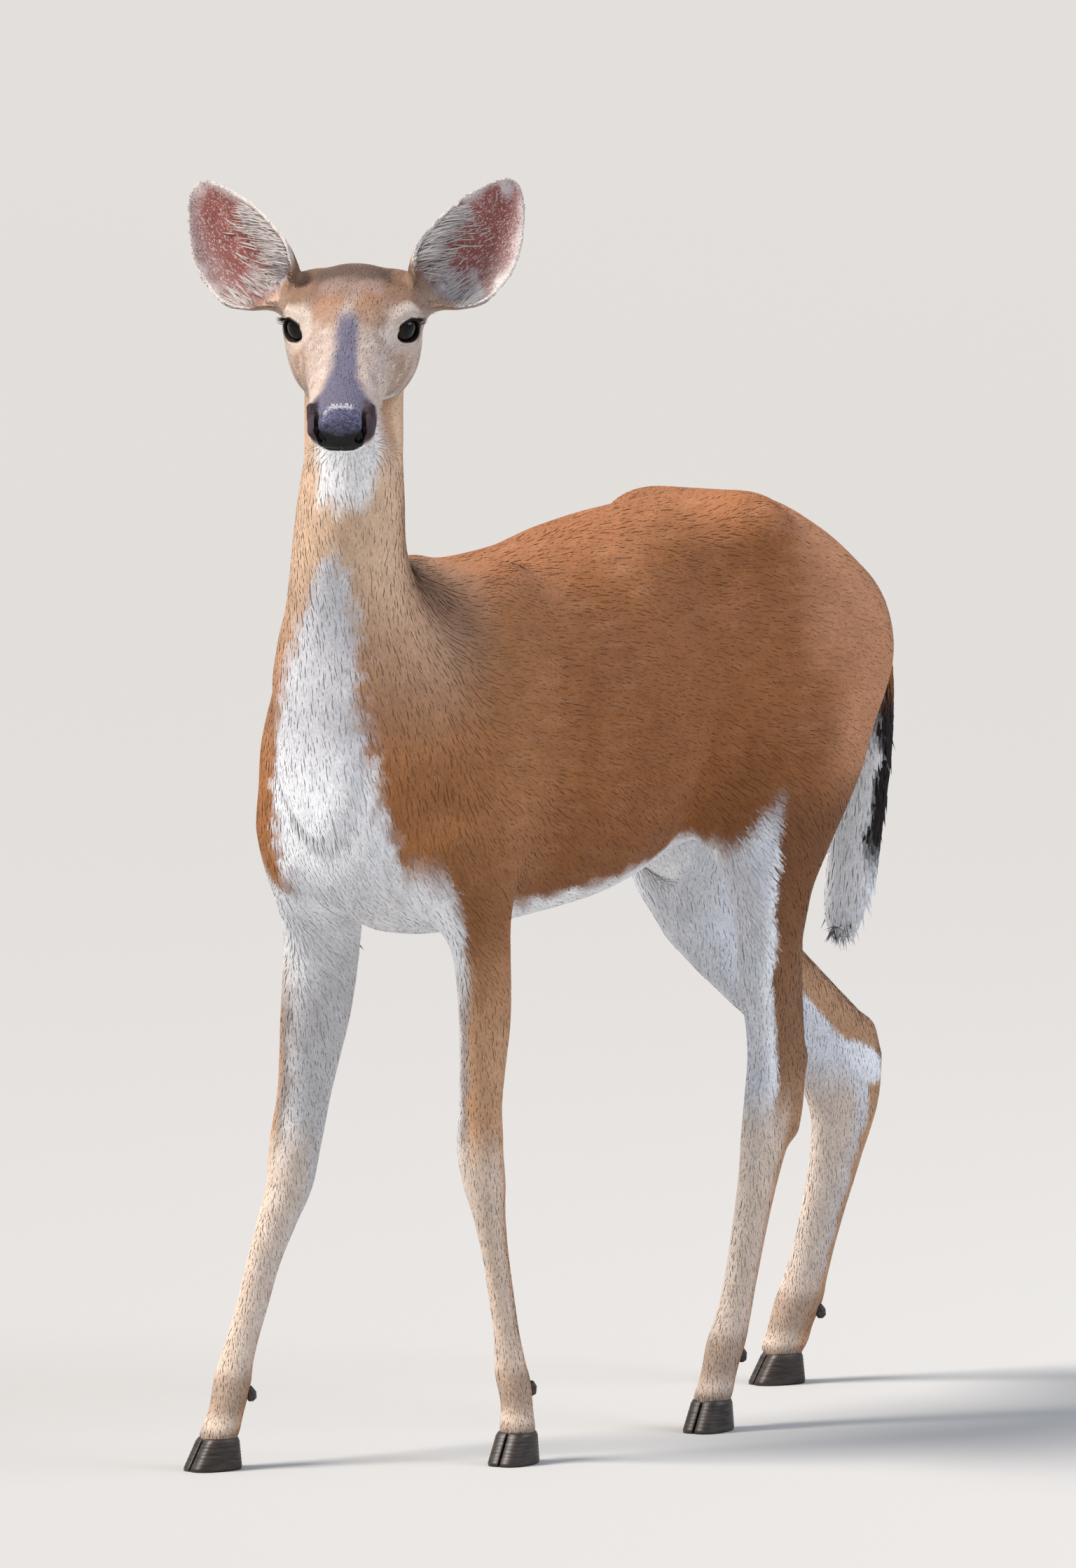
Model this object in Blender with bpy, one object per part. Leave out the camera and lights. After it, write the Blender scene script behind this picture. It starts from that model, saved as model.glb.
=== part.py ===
"""White-tailed deer, a doe: a still, life-size model standing on a floor. Metres, +X to its chest, +Y to its left.

The body is one smooth field, negative inside it: lofts of rounded sections for the trunk, neck, skull, legs and
tail, and ellipsoids for muscles and bones, all blended. Each flesh node is that field meshed in its own box,
thinned to its own triangle count, and parted from its neighbours by flat cuts.
"""
import bmesh
import bpy
import numpy as np
import openvdb

# Driving dimensions.
GAP = 0.0003              # air between two nodes that touch
SWELL = 2.0               # a hollow is its piece swollen by this many gaps, as the corners of a mesh swell less
CENTRE = (-0.0912, -0.0296, 0.0)   # brings the middle of the whole animal over the origin
CUT_FIELD = 0.05          # the field is clipped at this distance from the surface
REGION = 1.2              # the side of a box that stands for a half space
SIDES = (("left", 1), ("right", -1))

# The size of the steps that each kind of flesh is meshed in, and how many triangles are then left.
DETAIL = {
    "head": (0.0035, 1700), "nose": (0.0035, 1700), "neck": (0.007, 480), "trunk": (0.008, 1500),
    "tail": (0.004, 300), "upper": (0.007, 380), "cannon": (0.005, 170), "foot": (0.004, 160),
}
EYE_RINGS, DEWCLAW_RINGS = 8, 4
EAR_ROWS, EAR_COLUMNS = 11, 7

HEAD_AT = (0.5287, 0.116, 1.108)  # between the eyes, on the line of the face
HEAD_YAW, HEAD_PITCH = 36, -32    # degrees: the face is turned to the left and down
EYE_AT = (-0.006, 0.0430, -0.0255)   # in the head's own frame, the left one
EYE_LOOKS = (0.63, 0.77, 0.12)
EYE_RADIUS = 0.0170
LIDS_HALF_LONG, LIDS_HALF_HIGH, LIDS_DEEP = 0.0175, 0.0125, 0.0110
LIDS_TILT = 0.10          # how far the corner at the nose lies below the other one
HOOF_TOP = 0.031

# Sections of the trunk from rump to breast: x, top, bottom, half width, height of the widest place, and how
# square it is above and below.
TRUNK = (
    (-0.372, 0.770, 0.712, 0.012, 0.740, 2.0, 2.0),
    (-0.364, 0.793, 0.686, 0.034, 0.740, 2.0, 2.0),
    (-0.343, 0.816, 0.672, 0.063, 0.742, 2.0, 2.0),
    (-0.308, 0.839, 0.656, 0.090, 0.740, 1.9, 2.0),
    (-0.260, 0.868, 0.625, 0.108, 0.737, 1.9, 1.9),
    (-0.200, 0.891, 0.594, 0.116, 0.737, 2.0, 1.8),
    (-0.125, 0.900, 0.572, 0.110, 0.745, 2.2, 1.7),
    (-0.050, 0.896, 0.548, 0.108, 0.735, 2.1, 1.7),
    (0.020, 0.890, 0.528, 0.118, 0.710, 2.0, 1.9),
    (0.090, 0.879, 0.516, 0.127, 0.690, 2.0, 2.1),
    (0.160, 0.863, 0.508, 0.127, 0.680, 2.0, 2.1),
    (0.230, 0.856, 0.502, 0.118, 0.680, 1.9, 2.1),
    (0.290, 0.851, 0.500, 0.104, 0.680, 1.9, 2.1),
    (0.340, 0.842, 0.505, 0.094, 0.675, 2.0, 2.1),
    (0.385, 0.805, 0.525, 0.082, 0.665, 2.0, 2.0),
    (0.420, 0.750, 0.560, 0.062, 0.655, 2.0, 2.0),
    (0.438, 0.700, 0.600, 0.035, 0.650, 2.0, 2.0),
)
RUMP_END, BREAST_END = -0.375, 0.442

# Level sections of the neck, going up: z, x, y, half depth, half width, and the way it faces in degrees.
NECK = (
    (0.600, 0.385, 0.000, 0.030, 0.040, 0),
    (0.640, 0.370, 0.000, 0.070, 0.070, 0),
    (0.690, 0.362, 0.000, 0.095, 0.088, 2),
    (0.740, 0.366, 0.001, 0.100, 0.088, 6),
    (0.780, 0.378, 0.003, 0.092, 0.078, 12),
    (0.820, 0.398, 0.011, 0.080, 0.063, 18),
    (0.870, 0.424, 0.025, 0.070, 0.053, 26),
    (0.920, 0.440, 0.041, 0.062, 0.050, 32),
    (0.970, 0.450, 0.053, 0.057, 0.046, 36),
    (1.020, 0.460, 0.062, 0.056, 0.046, 36),
    (1.060, 0.465, 0.068, 0.056, 0.048, 36),
    (1.095, 0.467, 0.070, 0.048, 0.048, 36),
    (1.120, 0.465, 0.069, 0.030, 0.035, 36),
)

# Sections of the head from the back of the skull to the nose, in the head's frame, columns as in TRUNK.
SKULL = (
    (-0.100, -0.020, -0.060, 0.0180, -0.040, 2.0, 2.0),
    (-0.090, -0.013, -0.078, 0.0360, -0.040, 2.0, 2.0),
    (-0.070, 0.000, -0.092, 0.0480, -0.040, 2.2, 2.0),
    (-0.040, 0.007, -0.099, 0.0540, -0.038, 2.4, 2.0),
    (-0.015, 0.009, -0.098, 0.0545, -0.037, 2.4, 2.0),
    (0.010, 0.008, -0.092, 0.0485, -0.041, 2.0, 2.0),
    (0.030, 0.003, -0.085, 0.0435, -0.044, 1.8, 2.1),
    (0.050, -0.001, -0.078, 0.0395, -0.043, 1.9, 2.2),
    (0.075, -0.004, -0.071, 0.0350, -0.040, 2.1, 2.2),
    (0.102, -0.008, -0.067, 0.0322, -0.039, 2.2, 2.3),
    (0.124, -0.012, -0.065, 0.0315, -0.039, 2.3, 2.3),
    (0.141, -0.017, -0.062, 0.0295, -0.040, 2.3, 2.3),
    (0.150, -0.023, -0.058, 0.0245, -0.040, 2.2, 2.2),
    (0.155, -0.031, -0.051, 0.0120, -0.042, 2.0, 2.0),
)

# Level sections of a leg square to its own line: z, half depth, half width.
FORE_GIRTH = (
    (-0.020, 0.0185, 0.0172), (0.031, 0.0182, 0.0170), (0.055, 0.0165, 0.0152),
    (0.080, 0.0182, 0.0160), (0.100, 0.0165, 0.0136), (0.130, 0.0155, 0.0110), (0.193, 0.0170, 0.0108),
    (0.231, 0.0195, 0.0132), (0.250, 0.0212, 0.0162), (0.269, 0.0235, 0.0195), (0.307, 0.0255, 0.0215),
    (0.344, 0.0275, 0.0185), (0.385, 0.0330, 0.0185), (0.420, 0.0380, 0.0195), (0.500, 0.0425, 0.0230),
    (0.550, 0.0500, 0.0290), (0.600, 0.0600, 0.0330),
)
HIND_GIRTH = (
    (-0.020, 0.0185, 0.0172), (0.031, 0.0182, 0.0170), (0.055, 0.0175, 0.0155), (0.082, 0.0195, 0.0165),
    (0.105, 0.0180, 0.0150), (0.135, 0.0175, 0.0138), (0.175, 0.0190, 0.0140), (0.215, 0.0215, 0.0148),
    (0.250, 0.0255, 0.0162), (0.280, 0.0310, 0.0190), (0.310, 0.0350, 0.0205), (0.335, 0.0350, 0.0200),
    (0.370, 0.0325, 0.0190), (0.418, 0.0360, 0.0212), (0.461, 0.0400, 0.0240), (0.500, 0.0475, 0.0285),
    (0.543, 0.0570, 0.0350), (0.600, 0.0700, 0.0430), (0.640, 0.0800, 0.0480),
)

# The line of each leg from below the hoof to the top: z, x, y. Turn is the way the leg faces, in degrees, and
# girth scales its depth.
LEGS = {
    "foreleg_left": dict(girth=FORE_GIRTH, stout=0.86, turn=9, top=0.60, line=(
        (-0.020, 0.270, 0.101), (0.031, 0.266, 0.098), (0.060, 0.263, 0.094), (0.095, 0.267, 0.090),
        (0.193, 0.285, 0.088), (0.231, 0.294, 0.088), (0.270, 0.303, 0.088), (0.307, 0.309, 0.088),
        (0.344, 0.308, 0.088), (0.420, 0.303, 0.089), (0.494, 0.309, 0.090), (0.600, 0.325, 0.084))),
    "foreleg_right": dict(girth=FORE_GIRTH, stout=1.0, turn=-12, top=0.60, line=(
        (-0.020, 0.492, -0.092), (0.030, 0.480, -0.091), (0.065, 0.466, -0.090), (0.091, 0.460, -0.089),
        (0.156, 0.433, -0.088), (0.192, 0.418, -0.088), (0.227, 0.399, -0.088), (0.263, 0.380, -0.088),
        (0.300, 0.372, -0.088), (0.355, 0.357, -0.088), (0.429, 0.341, -0.088), (0.502, 0.330, -0.090),
        (0.600, 0.333, -0.084))),
    "hindleg_left": dict(girth=HIND_GIRTH, stout=1.05, turn=7, top=0.66, line=(
        (-0.020, -0.022, 0.088), (0.015, -0.034, 0.086), (0.055, -0.052, 0.084), (0.082, -0.065, 0.082),
        (0.114, -0.081, 0.080), (0.194, -0.107, 0.078), (0.235, -0.120, 0.077), (0.275, -0.134, 0.075),
        (0.310, -0.143, 0.075), (0.340, -0.145, 0.076), (0.380, -0.139, 0.079), (0.420, -0.131, 0.082),
        (0.461, -0.126, 0.086), (0.502, -0.126, 0.088), (0.560, -0.140, 0.086), (0.640, -0.165, 0.080))),
    "hindleg_right": dict(girth=HIND_GIRTH, stout=1.27, turn=-18, top=0.66, line=(
        (-0.020, -0.352, -0.098), (0.015, -0.362, -0.094), (0.055, -0.375, -0.090), (0.082, -0.384, -0.086),
        (0.136, -0.394, -0.075), (0.177, -0.400, -0.067), (0.218, -0.407, -0.060), (0.268, -0.412, -0.053),
        (0.307, -0.404, -0.052), (0.361, -0.358, -0.058), (0.398, -0.320, -0.068), (0.431, -0.288, -0.079),
        (0.470, -0.255, -0.090), (0.520, -0.228, -0.094), (0.580, -0.213, -0.088), (0.640, -0.205, -0.080))),
}

# The tail, hanging: z, x, y, half depth, half width.
TAIL = (
    (0.452, -0.366, -0.021, 0.0060, 0.0130),
    (0.470, -0.371, -0.020, 0.0110, 0.0230),
    (0.510, -0.380, -0.017, 0.0140, 0.0300),
    (0.560, -0.384, -0.013, 0.0150, 0.0300),
    (0.620, -0.391, -0.007, 0.0150, 0.0280),
    (0.680, -0.394, -0.003, 0.0150, 0.0250),
    (0.730, -0.390, 0.000, 0.0150, 0.0210),
    (0.770, -0.380, 0.000, 0.0155, 0.0185),
    (0.800, -0.362, 0.000, 0.0120, 0.0160),
)
TAIL_TIP, TAIL_TOP = 0.457, 0.795
TAIL_ROOT = (0.735, 0.775)     # the tail grows out of the rump between these heights, and hangs free below them

# Muscles and bones that swell the body: the side they are on, their middle, radii, pitch and fillet.
MASSES = (
    ("middle", (0.325, 0.0, 0.765), (0.105, 0.070, 0.088), 0, 0.030),        # where the neck leaves the withers
    ("left", (0.305, 0.074, 0.655), (0.078, 0.047, 0.135), 18, 0.050),       # upper arms
    ("right", (0.335, 0.074, 0.655), (0.078, 0.047, 0.135), 18, 0.050),
    ("both", (0.262, 0.060, 0.755), (0.060, 0.032, 0.085), 12, 0.060),       # shoulder blades
    ("left", (-0.170, 0.070, 0.672), (0.094, 0.050, 0.150), 38, 0.050),      # thighs
    ("right", (-0.205, 0.068, 0.662), (0.104, 0.050, 0.152), 26, 0.050),
    ("both", (-0.118, 0.066, 0.862), (0.040, 0.028, 0.030), 0, 0.050),       # points of the hip
)

# The same for the left half of the head, in its frame: the brow, the jaw and the bulb that the ear grows from.
HEAD_MASSES = (
    ((-0.014, 0.045, -0.023), (0.023, 0.0180, 0.020), 0.016),
    ((-0.022, 0.034, -0.062), (0.050, 0.0245, 0.036), 0.030),
    ((-0.056, 0.051, -0.031), (0.024, 0.0195, 0.022), 0.016),
)
# The stalk behind the ear, from the poll outward: places and radii.
EAR_STALK = (((-0.068, 0.038, -0.030), 0.020), ((-0.083, 0.062, -0.038), 0.013), ((-0.0915, 0.086, -0.021), 0.005))

# The heel bone and its tendon: height, how far behind the line of the leg at a height near it, and radius.
HEEL, SHANK, CALF = (0.349, 0.335, 0.032, 0.0125), (0.285, 0.335, 0.018, 0.0140), (0.455, 0.455, 0.031, 0.0105)

# Root to tip of an ear: how far along, half width, and half the angle of the arc that its section is.
EAR = (
    (0.00, 0.0150, 150), (0.10, 0.0220, 130), (0.16, 0.0310, 110), (0.28, 0.0420, 85), (0.37, 0.0448, 70),
    (0.50, 0.0445, 58), (0.64, 0.0407, 50), (0.76, 0.0330, 44), (0.86, 0.0245, 40), (0.94, 0.0155, 37),
    (0.985, 0.0080, 35), (1.00, 0.0025, 35),
)
EAR_BASE = (-0.060, 0.068, -0.017)     # in the head's frame, where the left ear leaves the head
EAR_LONG, EAR_THICK, EAR_BOW = 0.155, 0.0035, 0.009
EAR_BURIED = 0.16                      # the share of its length inside the head
EAR_STEM = 0.015
EAR_POINTS = {1: (-0.030, 0.084, 0.099), -1: (-0.030, -0.092, 0.098)}    # ahead, left and up of the face
EAR_FACES = (1.0, 0.15, 0.0)

HOOF_LEVELS = (0.0, 0.010, 0.021, HOOF_TOP - GAP)
HOOF_STEPS = 6
HOOF_HEEL, HOOF_TOE = (-0.021, -0.0175), (0.036, 0.0185)    # at the sole and at the top, from the foot's middle
HOOF_HALF = (0.0205, 0.0180)
HOOF_CLEFT = 0.0016
DEWCLAW_HEIGHT = 0.070
DEWCLAW_RADII = (0.0065, 0.0055, 0.0085)
DEWCLAW_ASIDE, DEWCLAW_SUNK, DEWCLAW_LEAN = 0.0092, 0.0005, 25

# Flat cuts between the nodes.
HEAD_CUT, HEAD_CUT_PITCH = (0.455, 0.065, 1.040), 50
NECK_CUT, NECK_CUT_YAW, NECK_CUT_PITCH = (0.385, 0.000, 0.780), 8, 39
TAIL_CUT, TAIL_CUT_PITCH = (-0.3765, 0.000, 0.750), 7
THIGH_TOP, THIGH_SLOPE, THIGH_BOX = (-0.210, 0.0, 0.606), -20, (0.9, 0.24, 0.8)
HIND_INNER, FORE_INNER, LEG_OUTER = 0.020, 0.052, 0.26
ELBOW, KNEE, HOCK, FETLOCK = 0.500, 0.235, 0.270, 0.105

# The outline of the nose pad, seen from ahead of the face: half width and height, from the rim down to the lip.
NOSE_OUTLINE = (
    (0.010, -0.0120), (0.0185, -0.0155), (0.0225, -0.0230), (0.0215, -0.0320), (0.0165, -0.0405), (0.008, -0.0450),
)
NOSE_BACK, NOSE_FRONT = 0.1360, 0.1800


# The field.

def curve(table, columns=240):
    """A smooth function of the first column, through every row: monotone cubic pieces, held level past its ends."""
    rows = np.array(table, float)
    at, values = rows[:, 0], rows[:, 1:]
    step = np.diff(at)[:, None]
    rise = np.diff(values, axis=0) / step
    slope = np.zeros_like(values)
    slope[0], slope[-1] = rise[0], rise[-1]
    before, after = 2 * step[1:] + step[:-1], step[1:] + 2 * step[:-1]
    with np.errstate(divide="ignore", invalid="ignore"):
        mean = (before + after) / (before / rise[:-1] + after / rise[1:])
    slope[1:-1] = np.where(rise[:-1] * rise[1:] > 0, mean, 0)
    fine = np.linspace(at[0], at[-1], columns)
    i = np.clip(np.searchsorted(at, fine) - 1, 0, len(at) - 2)
    t = ((fine - at[i]) / step[i, 0])[:, None]
    out = (1 + 2 * t) * (1 - t) ** 2 * values[i] + t * (1 - t) ** 2 * step[i] * slope[i]
    out += t * t * (3 - 2 * t) * values[i + 1] + t * t * (t - 1) * step[i] * slope[i + 1]
    return lambda x: [np.interp(x, fine, column) for column in out.T]


def blend(a, b, width):
    """Union of two fields with a fillet of about this width."""
    near = np.maximum(width - np.abs(a - b), 0) / width
    return np.minimum(a, b) - near * near * width / 4


def common(a, b, width):
    """Intersection of two fields with a rounded edge."""
    return -blend(-a, -b, width)


def section(up, side, above, below, half, power_above=2.0, power_below=2.0):
    """Distance along the ray from a section's middle to its rounded outline."""
    reach = np.where(up >= 0, above, below)
    power = np.where(up >= 0, power_above, power_below)
    ratio = ((np.abs(up) / reach) ** power + (np.abs(side) / half) ** power) ** (1 / power) + 1e-6
    return np.hypot(up, side) * (1 - 1 / ratio)


def axes(yaw, pitch=0.0):
    """Columns are a frame's own x, y and z axes: yaw turns it to the left, pitch lifts its x axis. Degrees."""
    yaw, pitch = np.radians([yaw, pitch])
    turn = np.array([[np.cos(yaw), -np.sin(yaw), 0], [np.sin(yaw), np.cos(yaw), 0], [0, 0, 1]])
    lift = np.array([[np.cos(pitch), 0, -np.sin(pitch)], [0, 1, 0], [np.sin(pitch), 0, np.cos(pitch)]])
    return turn @ lift


def ellipsoid(p, centre, radii, pitch=0.0):
    q = (p - centre) @ axes(0, pitch)
    ratio = np.linalg.norm(q / np.array(radii), axis=1) + 1e-6
    return np.linalg.norm(q, axis=1) * (1 - 1 / ratio)


def rod(p, start, end, start_radius, end_radius):
    along = end - start
    t = np.clip((p - start) @ along / (along @ along), 0, 1)
    radius = start_radius + (end_radius - start_radius) * t
    return np.linalg.norm(p - start - t[:, None] * along, axis=1) - radius


TRUNK_AT, NECK_AT, SKULL_AT, TAIL_AT, EAR_AT = (curve(table) for table in (TRUNK, NECK, SKULL, TAIL, EAR))
LINE_AT = {name: curve(leg["line"]) for name, leg in LEGS.items()}
GIRTH_AT = {name: curve(leg["girth"]) for name, leg in LEGS.items()}


def trunk_field(p):
    top, bottom, half, middle, above, below = TRUNK_AT(p[:, 0])
    f = section(p[:, 2] - middle, p[:, 1], top - middle, middle - bottom, half, above, below)
    return common(common(f, p[:, 0] - BREAST_END, 0.02), RUMP_END - p[:, 0], 0.01)


def neck_field(p):
    x, y, depth, half, faces = NECK_AT(p[:, 2])
    ahead, left = turned(p[:, 0] - x, p[:, 1] - y, np.radians(faces))
    f = section(ahead, left, depth, depth, half)
    return common(common(f, p[:, 2] - NECK[-1][0], 0.02), NECK[0][0] - p[:, 2], 0.02)


def turned(x, y, angle):
    """How far ahead and how far to the left a point lies, for something that faces this way."""
    return x * np.cos(angle) + y * np.sin(angle), y * np.cos(angle) - x * np.sin(angle)


def in_head(p):
    return (p - np.array(HEAD_AT)) @ axes(HEAD_YAW, HEAD_PITCH)


def head_field(p):
    q = in_head(p)
    top, bottom, half, middle, above, below = SKULL_AT(q[:, 0])
    f = section(q[:, 2] - middle, q[:, 1], top - middle, middle - bottom, half, above, below)
    f = common(common(f, q[:, 0] - SKULL[-1][0], 0.006), SKULL[0][0] - q[:, 0], 0.012)
    for _, side in SIDES:
        mirror = np.array((1, side, 1))
        for middle, radii, fillet in HEAD_MASSES:
            f = blend(f, ellipsoid(q, middle * mirror, radii), fillet)
        for (start, wide), (end, narrow) in zip(EAR_STALK, EAR_STALK[1:]):
            f = blend(f, rod(q, start * mirror, end * mirror, wide, narrow), 0.012)
        looks = unit(EYE_LOOKS * mirror)
        f = common(f, -opening(q, EYE_AT * mirror + looks * EYE_RADIUS, looks), 0.004)
    return f


def unit(v):
    return v / np.linalg.norm(v)


def opening(q, centre, looks):
    """The almond between the lids, an ellipsoid set across the way the eye looks."""
    up = unit(np.array((LIDS_TILT, 0, 1)) - looks * looks[2])
    ahead = np.cross(up, looks)
    d = q - centre
    ratio = np.linalg.norm((d @ ahead / LIDS_HALF_LONG, d @ up / LIDS_HALF_HIGH, d @ looks / LIDS_DEEP), axis=0)
    return np.linalg.norm(d, axis=1) * (1 - 1 / (ratio + 1e-6))


def leg_field(p, name):
    leg = LEGS[name]
    z = p[:, 2]
    x, y = LINE_AT[name](z)
    depth, half = GIRTH_AT[name](z)
    faces = np.radians(leg["turn"])
    above, below = LINE_AT[name](z + 0.01), LINE_AT[name](z - 0.01)
    slope, _ = turned((above[0] - below[0]) / 0.02, (above[1] - below[1]) / 0.02, faces)
    ahead, left = turned(p[:, 0] - x, p[:, 1] - y, faces)
    f = section(ahead / np.sqrt(1 + slope ** 2), left, depth * leg["stout"], depth * leg["stout"], half, 2.1, 2.1)
    return common(f, z - leg["top"], 0.02)


def hock_field(p, name):
    """The heel bone, standing out behind the hock, and the tendon that runs up from it."""
    places = []
    for height, near, behind, _ in (SHANK, HEEL, CALF):
        x, y = (float(v) for v in LINE_AT[name](near))
        places.append(np.array((x, y, height)) - axes(LEGS[name]["turn"])[:, 0] * behind * LEGS[name]["stout"])
    bone = rod(p, places[0], places[1], SHANK[3], HEEL[3])
    return blend(bone, rod(p, places[1], places[2], HEEL[3], CALF[3]), 0.01)


def tail_field(p):
    x, y, depth, half = TAIL_AT(p[:, 2])
    f = section(p[:, 0] - x, p[:, 1] - y, depth, depth, half)
    return common(common(f, p[:, 2] - TAIL_TOP, 0.01), TAIL_TIP - p[:, 2], 0.005)


def body_field(p):
    """The whole animal but its tail, ears, eyes and hooves."""
    f = blend(trunk_field(p), neck_field(p), 0.035)
    f = blend(f, head_field(p), 0.020)
    for name in LEGS:
        f = blend(f, leg_field(p, name), 0.030)
        if name.startswith("hind"):
            f = blend(f, hock_field(p, name), 0.015)
    for where, centre, radii, pitch, fillet in MASSES:
        for side in {"left": (1,), "right": (-1,), "both": (1, -1), "middle": (1,)}[where]:
            f = blend(f, ellipsoid(p, np.array(centre) * (1, side, 1), radii, pitch), fillet)
    return f


def tailed_field(p):
    """The body with its tail, which only its root joins."""
    low, high = TAIL_ROOT
    root = 0.002 + 0.018 * np.clip((p[:, 2] - low) / (high - low), 0, 1)
    return blend(body_field(p), tail_field(p), root)


# Meshes.

def clear_scene():
    for thing in list(bpy.data.objects):
        bpy.data.objects.remove(thing)


def material(name, colour, roughness, metallic=0.0):
    made = bpy.data.materials.new(name)
    made.use_nodes = True
    shader = made.node_tree.nodes["Principled BSDF"]
    shader.inputs["Base Color"].default_value = (*colour, 1.0)
    shader.inputs["Roughness"].default_value = roughness
    shader.inputs["Metallic"].default_value = metallic
    return made


def add_object(name, points, faces, look):
    mesh = bpy.data.meshes.new(name)
    mesh.from_pydata([tuple(p) for p in points], [], [tuple(f) for f in faces])
    if look:
        mesh.materials.append(look)
        mesh.shade_smooth()
    made = bpy.data.objects.new(name, mesh)
    bpy.context.collection.objects.link(made)
    return made


def face_outward(made):
    """Turns the faces of a closed mesh to the outside, as triangles, so that a swollen copy bends where it does."""
    shape = bmesh.new()
    shape.from_mesh(made.data)
    bmesh.ops.recalc_face_normals(shape, faces=shape.faces)
    bmesh.ops.triangulate(shape, faces=shape.faces)
    shape.to_mesh(made.data)
    shape.free()


def field_mesh(field, low, high, step):
    """The zero surface of a field inside a box, closed at the box's walls, as points and quads."""
    low, high = np.array(low), np.array(high)
    count = np.ceil((high - low) / step).astype(int) + 1
    x, y, z = (low[i] + step * np.arange(count[i]) for i in range(3))
    values = np.empty(count, np.float32)
    for i in range(count[0]):
        sheet = np.stack(np.meshgrid(x[i:i + 1], y, z, indexing="ij"), -1).reshape(-1, 3)
        values[i] = field(sheet).reshape(count[1:])
    values = np.clip(values, -CUT_FIELD, CUT_FIELD)
    for axis in range(3):
        np.moveaxis(values, axis, 0)[[0, -1]] = CUT_FIELD
    grid = openvdb.FloatGrid(CUT_FIELD)
    grid.copyFromArray(values)
    points, quads = grid.convertToQuads(isovalue=0.0)
    return points * step + low, quads


def thinned(made, triangles):
    """Fewer triangles, most of them left where the surface bends most."""
    thin = made.modifiers.new("Thin", "DECIMATE")
    thin.ratio = min(1.0, triangles / len(made.data.polygons))
    thin.use_collapse_triangulate = True
    return made


def cutter(name, centre, size, yaw=0.0, pitch=0.0):
    """A box that cuts and isn't part of the model. Its faces are flat cuts."""
    shape = bmesh.new()
    bmesh.ops.create_cube(shape, size=1.0)
    mesh = bpy.data.meshes.new(name)
    shape.to_mesh(mesh)
    shape.free()
    made = bpy.data.objects.new(name, mesh)
    bpy.context.collection.objects.link(made)
    made.location = centre
    made.rotation_euler = (0, -np.radians(pitch), np.radians(yaw))
    made.scale = size
    return helper(made)


def helper(made):
    made.hide_render = True
    made.display_type = "WIRE"
    return made


def cut(made, other, operation):
    step = made.modifiers.new(operation.title(), "BOOLEAN")
    step.operation = operation
    step.solver = "EXACT"
    step.object = other


def seat(made, piece):
    """Hollows out the place where a piece sits, with a gap all round it."""
    swollen = piece.copy()
    swollen.name = piece.name + "_seat"
    bpy.context.collection.objects.link(swollen)
    swell = swollen.modifiers.new("Swell", "DISPLACE")
    swell.mid_level = 0.0
    swell.strength = SWELL * GAP / max(piece.scale)
    cut(made, helper(swollen), "DIFFERENCE")


def ball(name, centre, radii, rings, look):
    shape = bmesh.new()
    bmesh.ops.create_uvsphere(shape, u_segments=2 * rings, v_segments=rings, radius=1.0)
    mesh = bpy.data.meshes.new(name)
    shape.to_mesh(mesh)
    shape.free()
    mesh.materials.append(look)
    mesh.shade_smooth()
    made = bpy.data.objects.new(name, mesh)
    bpy.context.collection.objects.link(made)
    made.location = centre
    made.scale = radii
    return made


# Sub-parts.

def half_space(name, point, yaw, pitch, gap):
    """A big box whose near face passes through the point and looks back against (yaw, pitch)."""
    ahead = axes(yaw, pitch)[:, 0]
    return cutter(name, np.array(point) + ahead * (REGION / 2 + gap), (REGION,) * 3, yaw, pitch)


def span(name, low, high, grow=0.0):
    low, high = np.array(low) - grow, np.array(high) + grow
    return cutter(name, (low + high) / 2, high - low)


def thigh_box(name, side, grow=0.0):
    """Takes in a hind leg, under a plane that falls from the tail to the flank."""
    long, wide, deep = THIGH_BOX
    up = axes(0, THIGH_SLOPE)[:, 2]
    centre = np.array(THIGH_TOP) + up * (grow - deep / 2) + np.array((0, side * (HIND_INNER + wide / 2), 0))
    return cutter(name, centre, (long + 2 * grow, wide + 2 * grow, deep), 0, THIGH_SLOPE)


def leg_bounds(name):
    """The box to mesh a leg in."""
    line = np.array(LEGS[name]["line"])
    low = np.array((line[:, 1].min() - 0.12, line[:, 2].min() - 0.07, 0.0))
    high = np.array((line[:, 1].max() + 0.13, line[:, 2].max() + 0.07, 0.0))
    return low, high


def flesh(name, low, high, kind, look, field=body_field):
    step, triangles = DETAIL[kind]
    points, quads = field_mesh(field, low, high, step)
    made = add_object(name, points, quads, look)
    face_outward(made)
    return thinned(made, triangles)


def ear_frame(side):
    """Columns: root to tip, inner edge to outer edge, and the way the hollow side faces."""
    face = axes(HEAD_YAW)
    along = unit(face @ np.array(EAR_POINTS[side]))
    facing = face @ (np.array(EAR_FACES) * (1, side, 1))
    facing = unit(facing - along * (facing @ along))
    return np.stack([along, side * np.cross(along, facing), facing], 1)


def ear_point(side, along, across, inset):
    """A point of the ear, in the world. along runs from root to tip, across from -1 at the inner edge to 1 at the
    outer one, and inset is how far in front of the back surface it lies. Each section is an arc."""
    half, cup = (float(v) for v in EAR_AT(along))
    radius = half / np.sin(min(np.radians(cup), np.pi / 2))
    angle = np.radians(cup) * across
    reach = radius - min(inset, 0.9 * radius)
    to_tip, outward, facing = ear_frame(side).T
    base = np.array(HEAD_AT) + axes(HEAD_YAW, HEAD_PITCH) @ (np.array(EAR_BASE) * (1, side, 1))
    middle = base + to_tip * EAR_LONG * (along - EAR_BURIED) + outward * EAR_BOW * np.sin(np.pi * along)
    return middle + outward * reach * np.sin(angle) + facing * (radius - EAR_STEM - reach * np.cos(angle))


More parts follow.
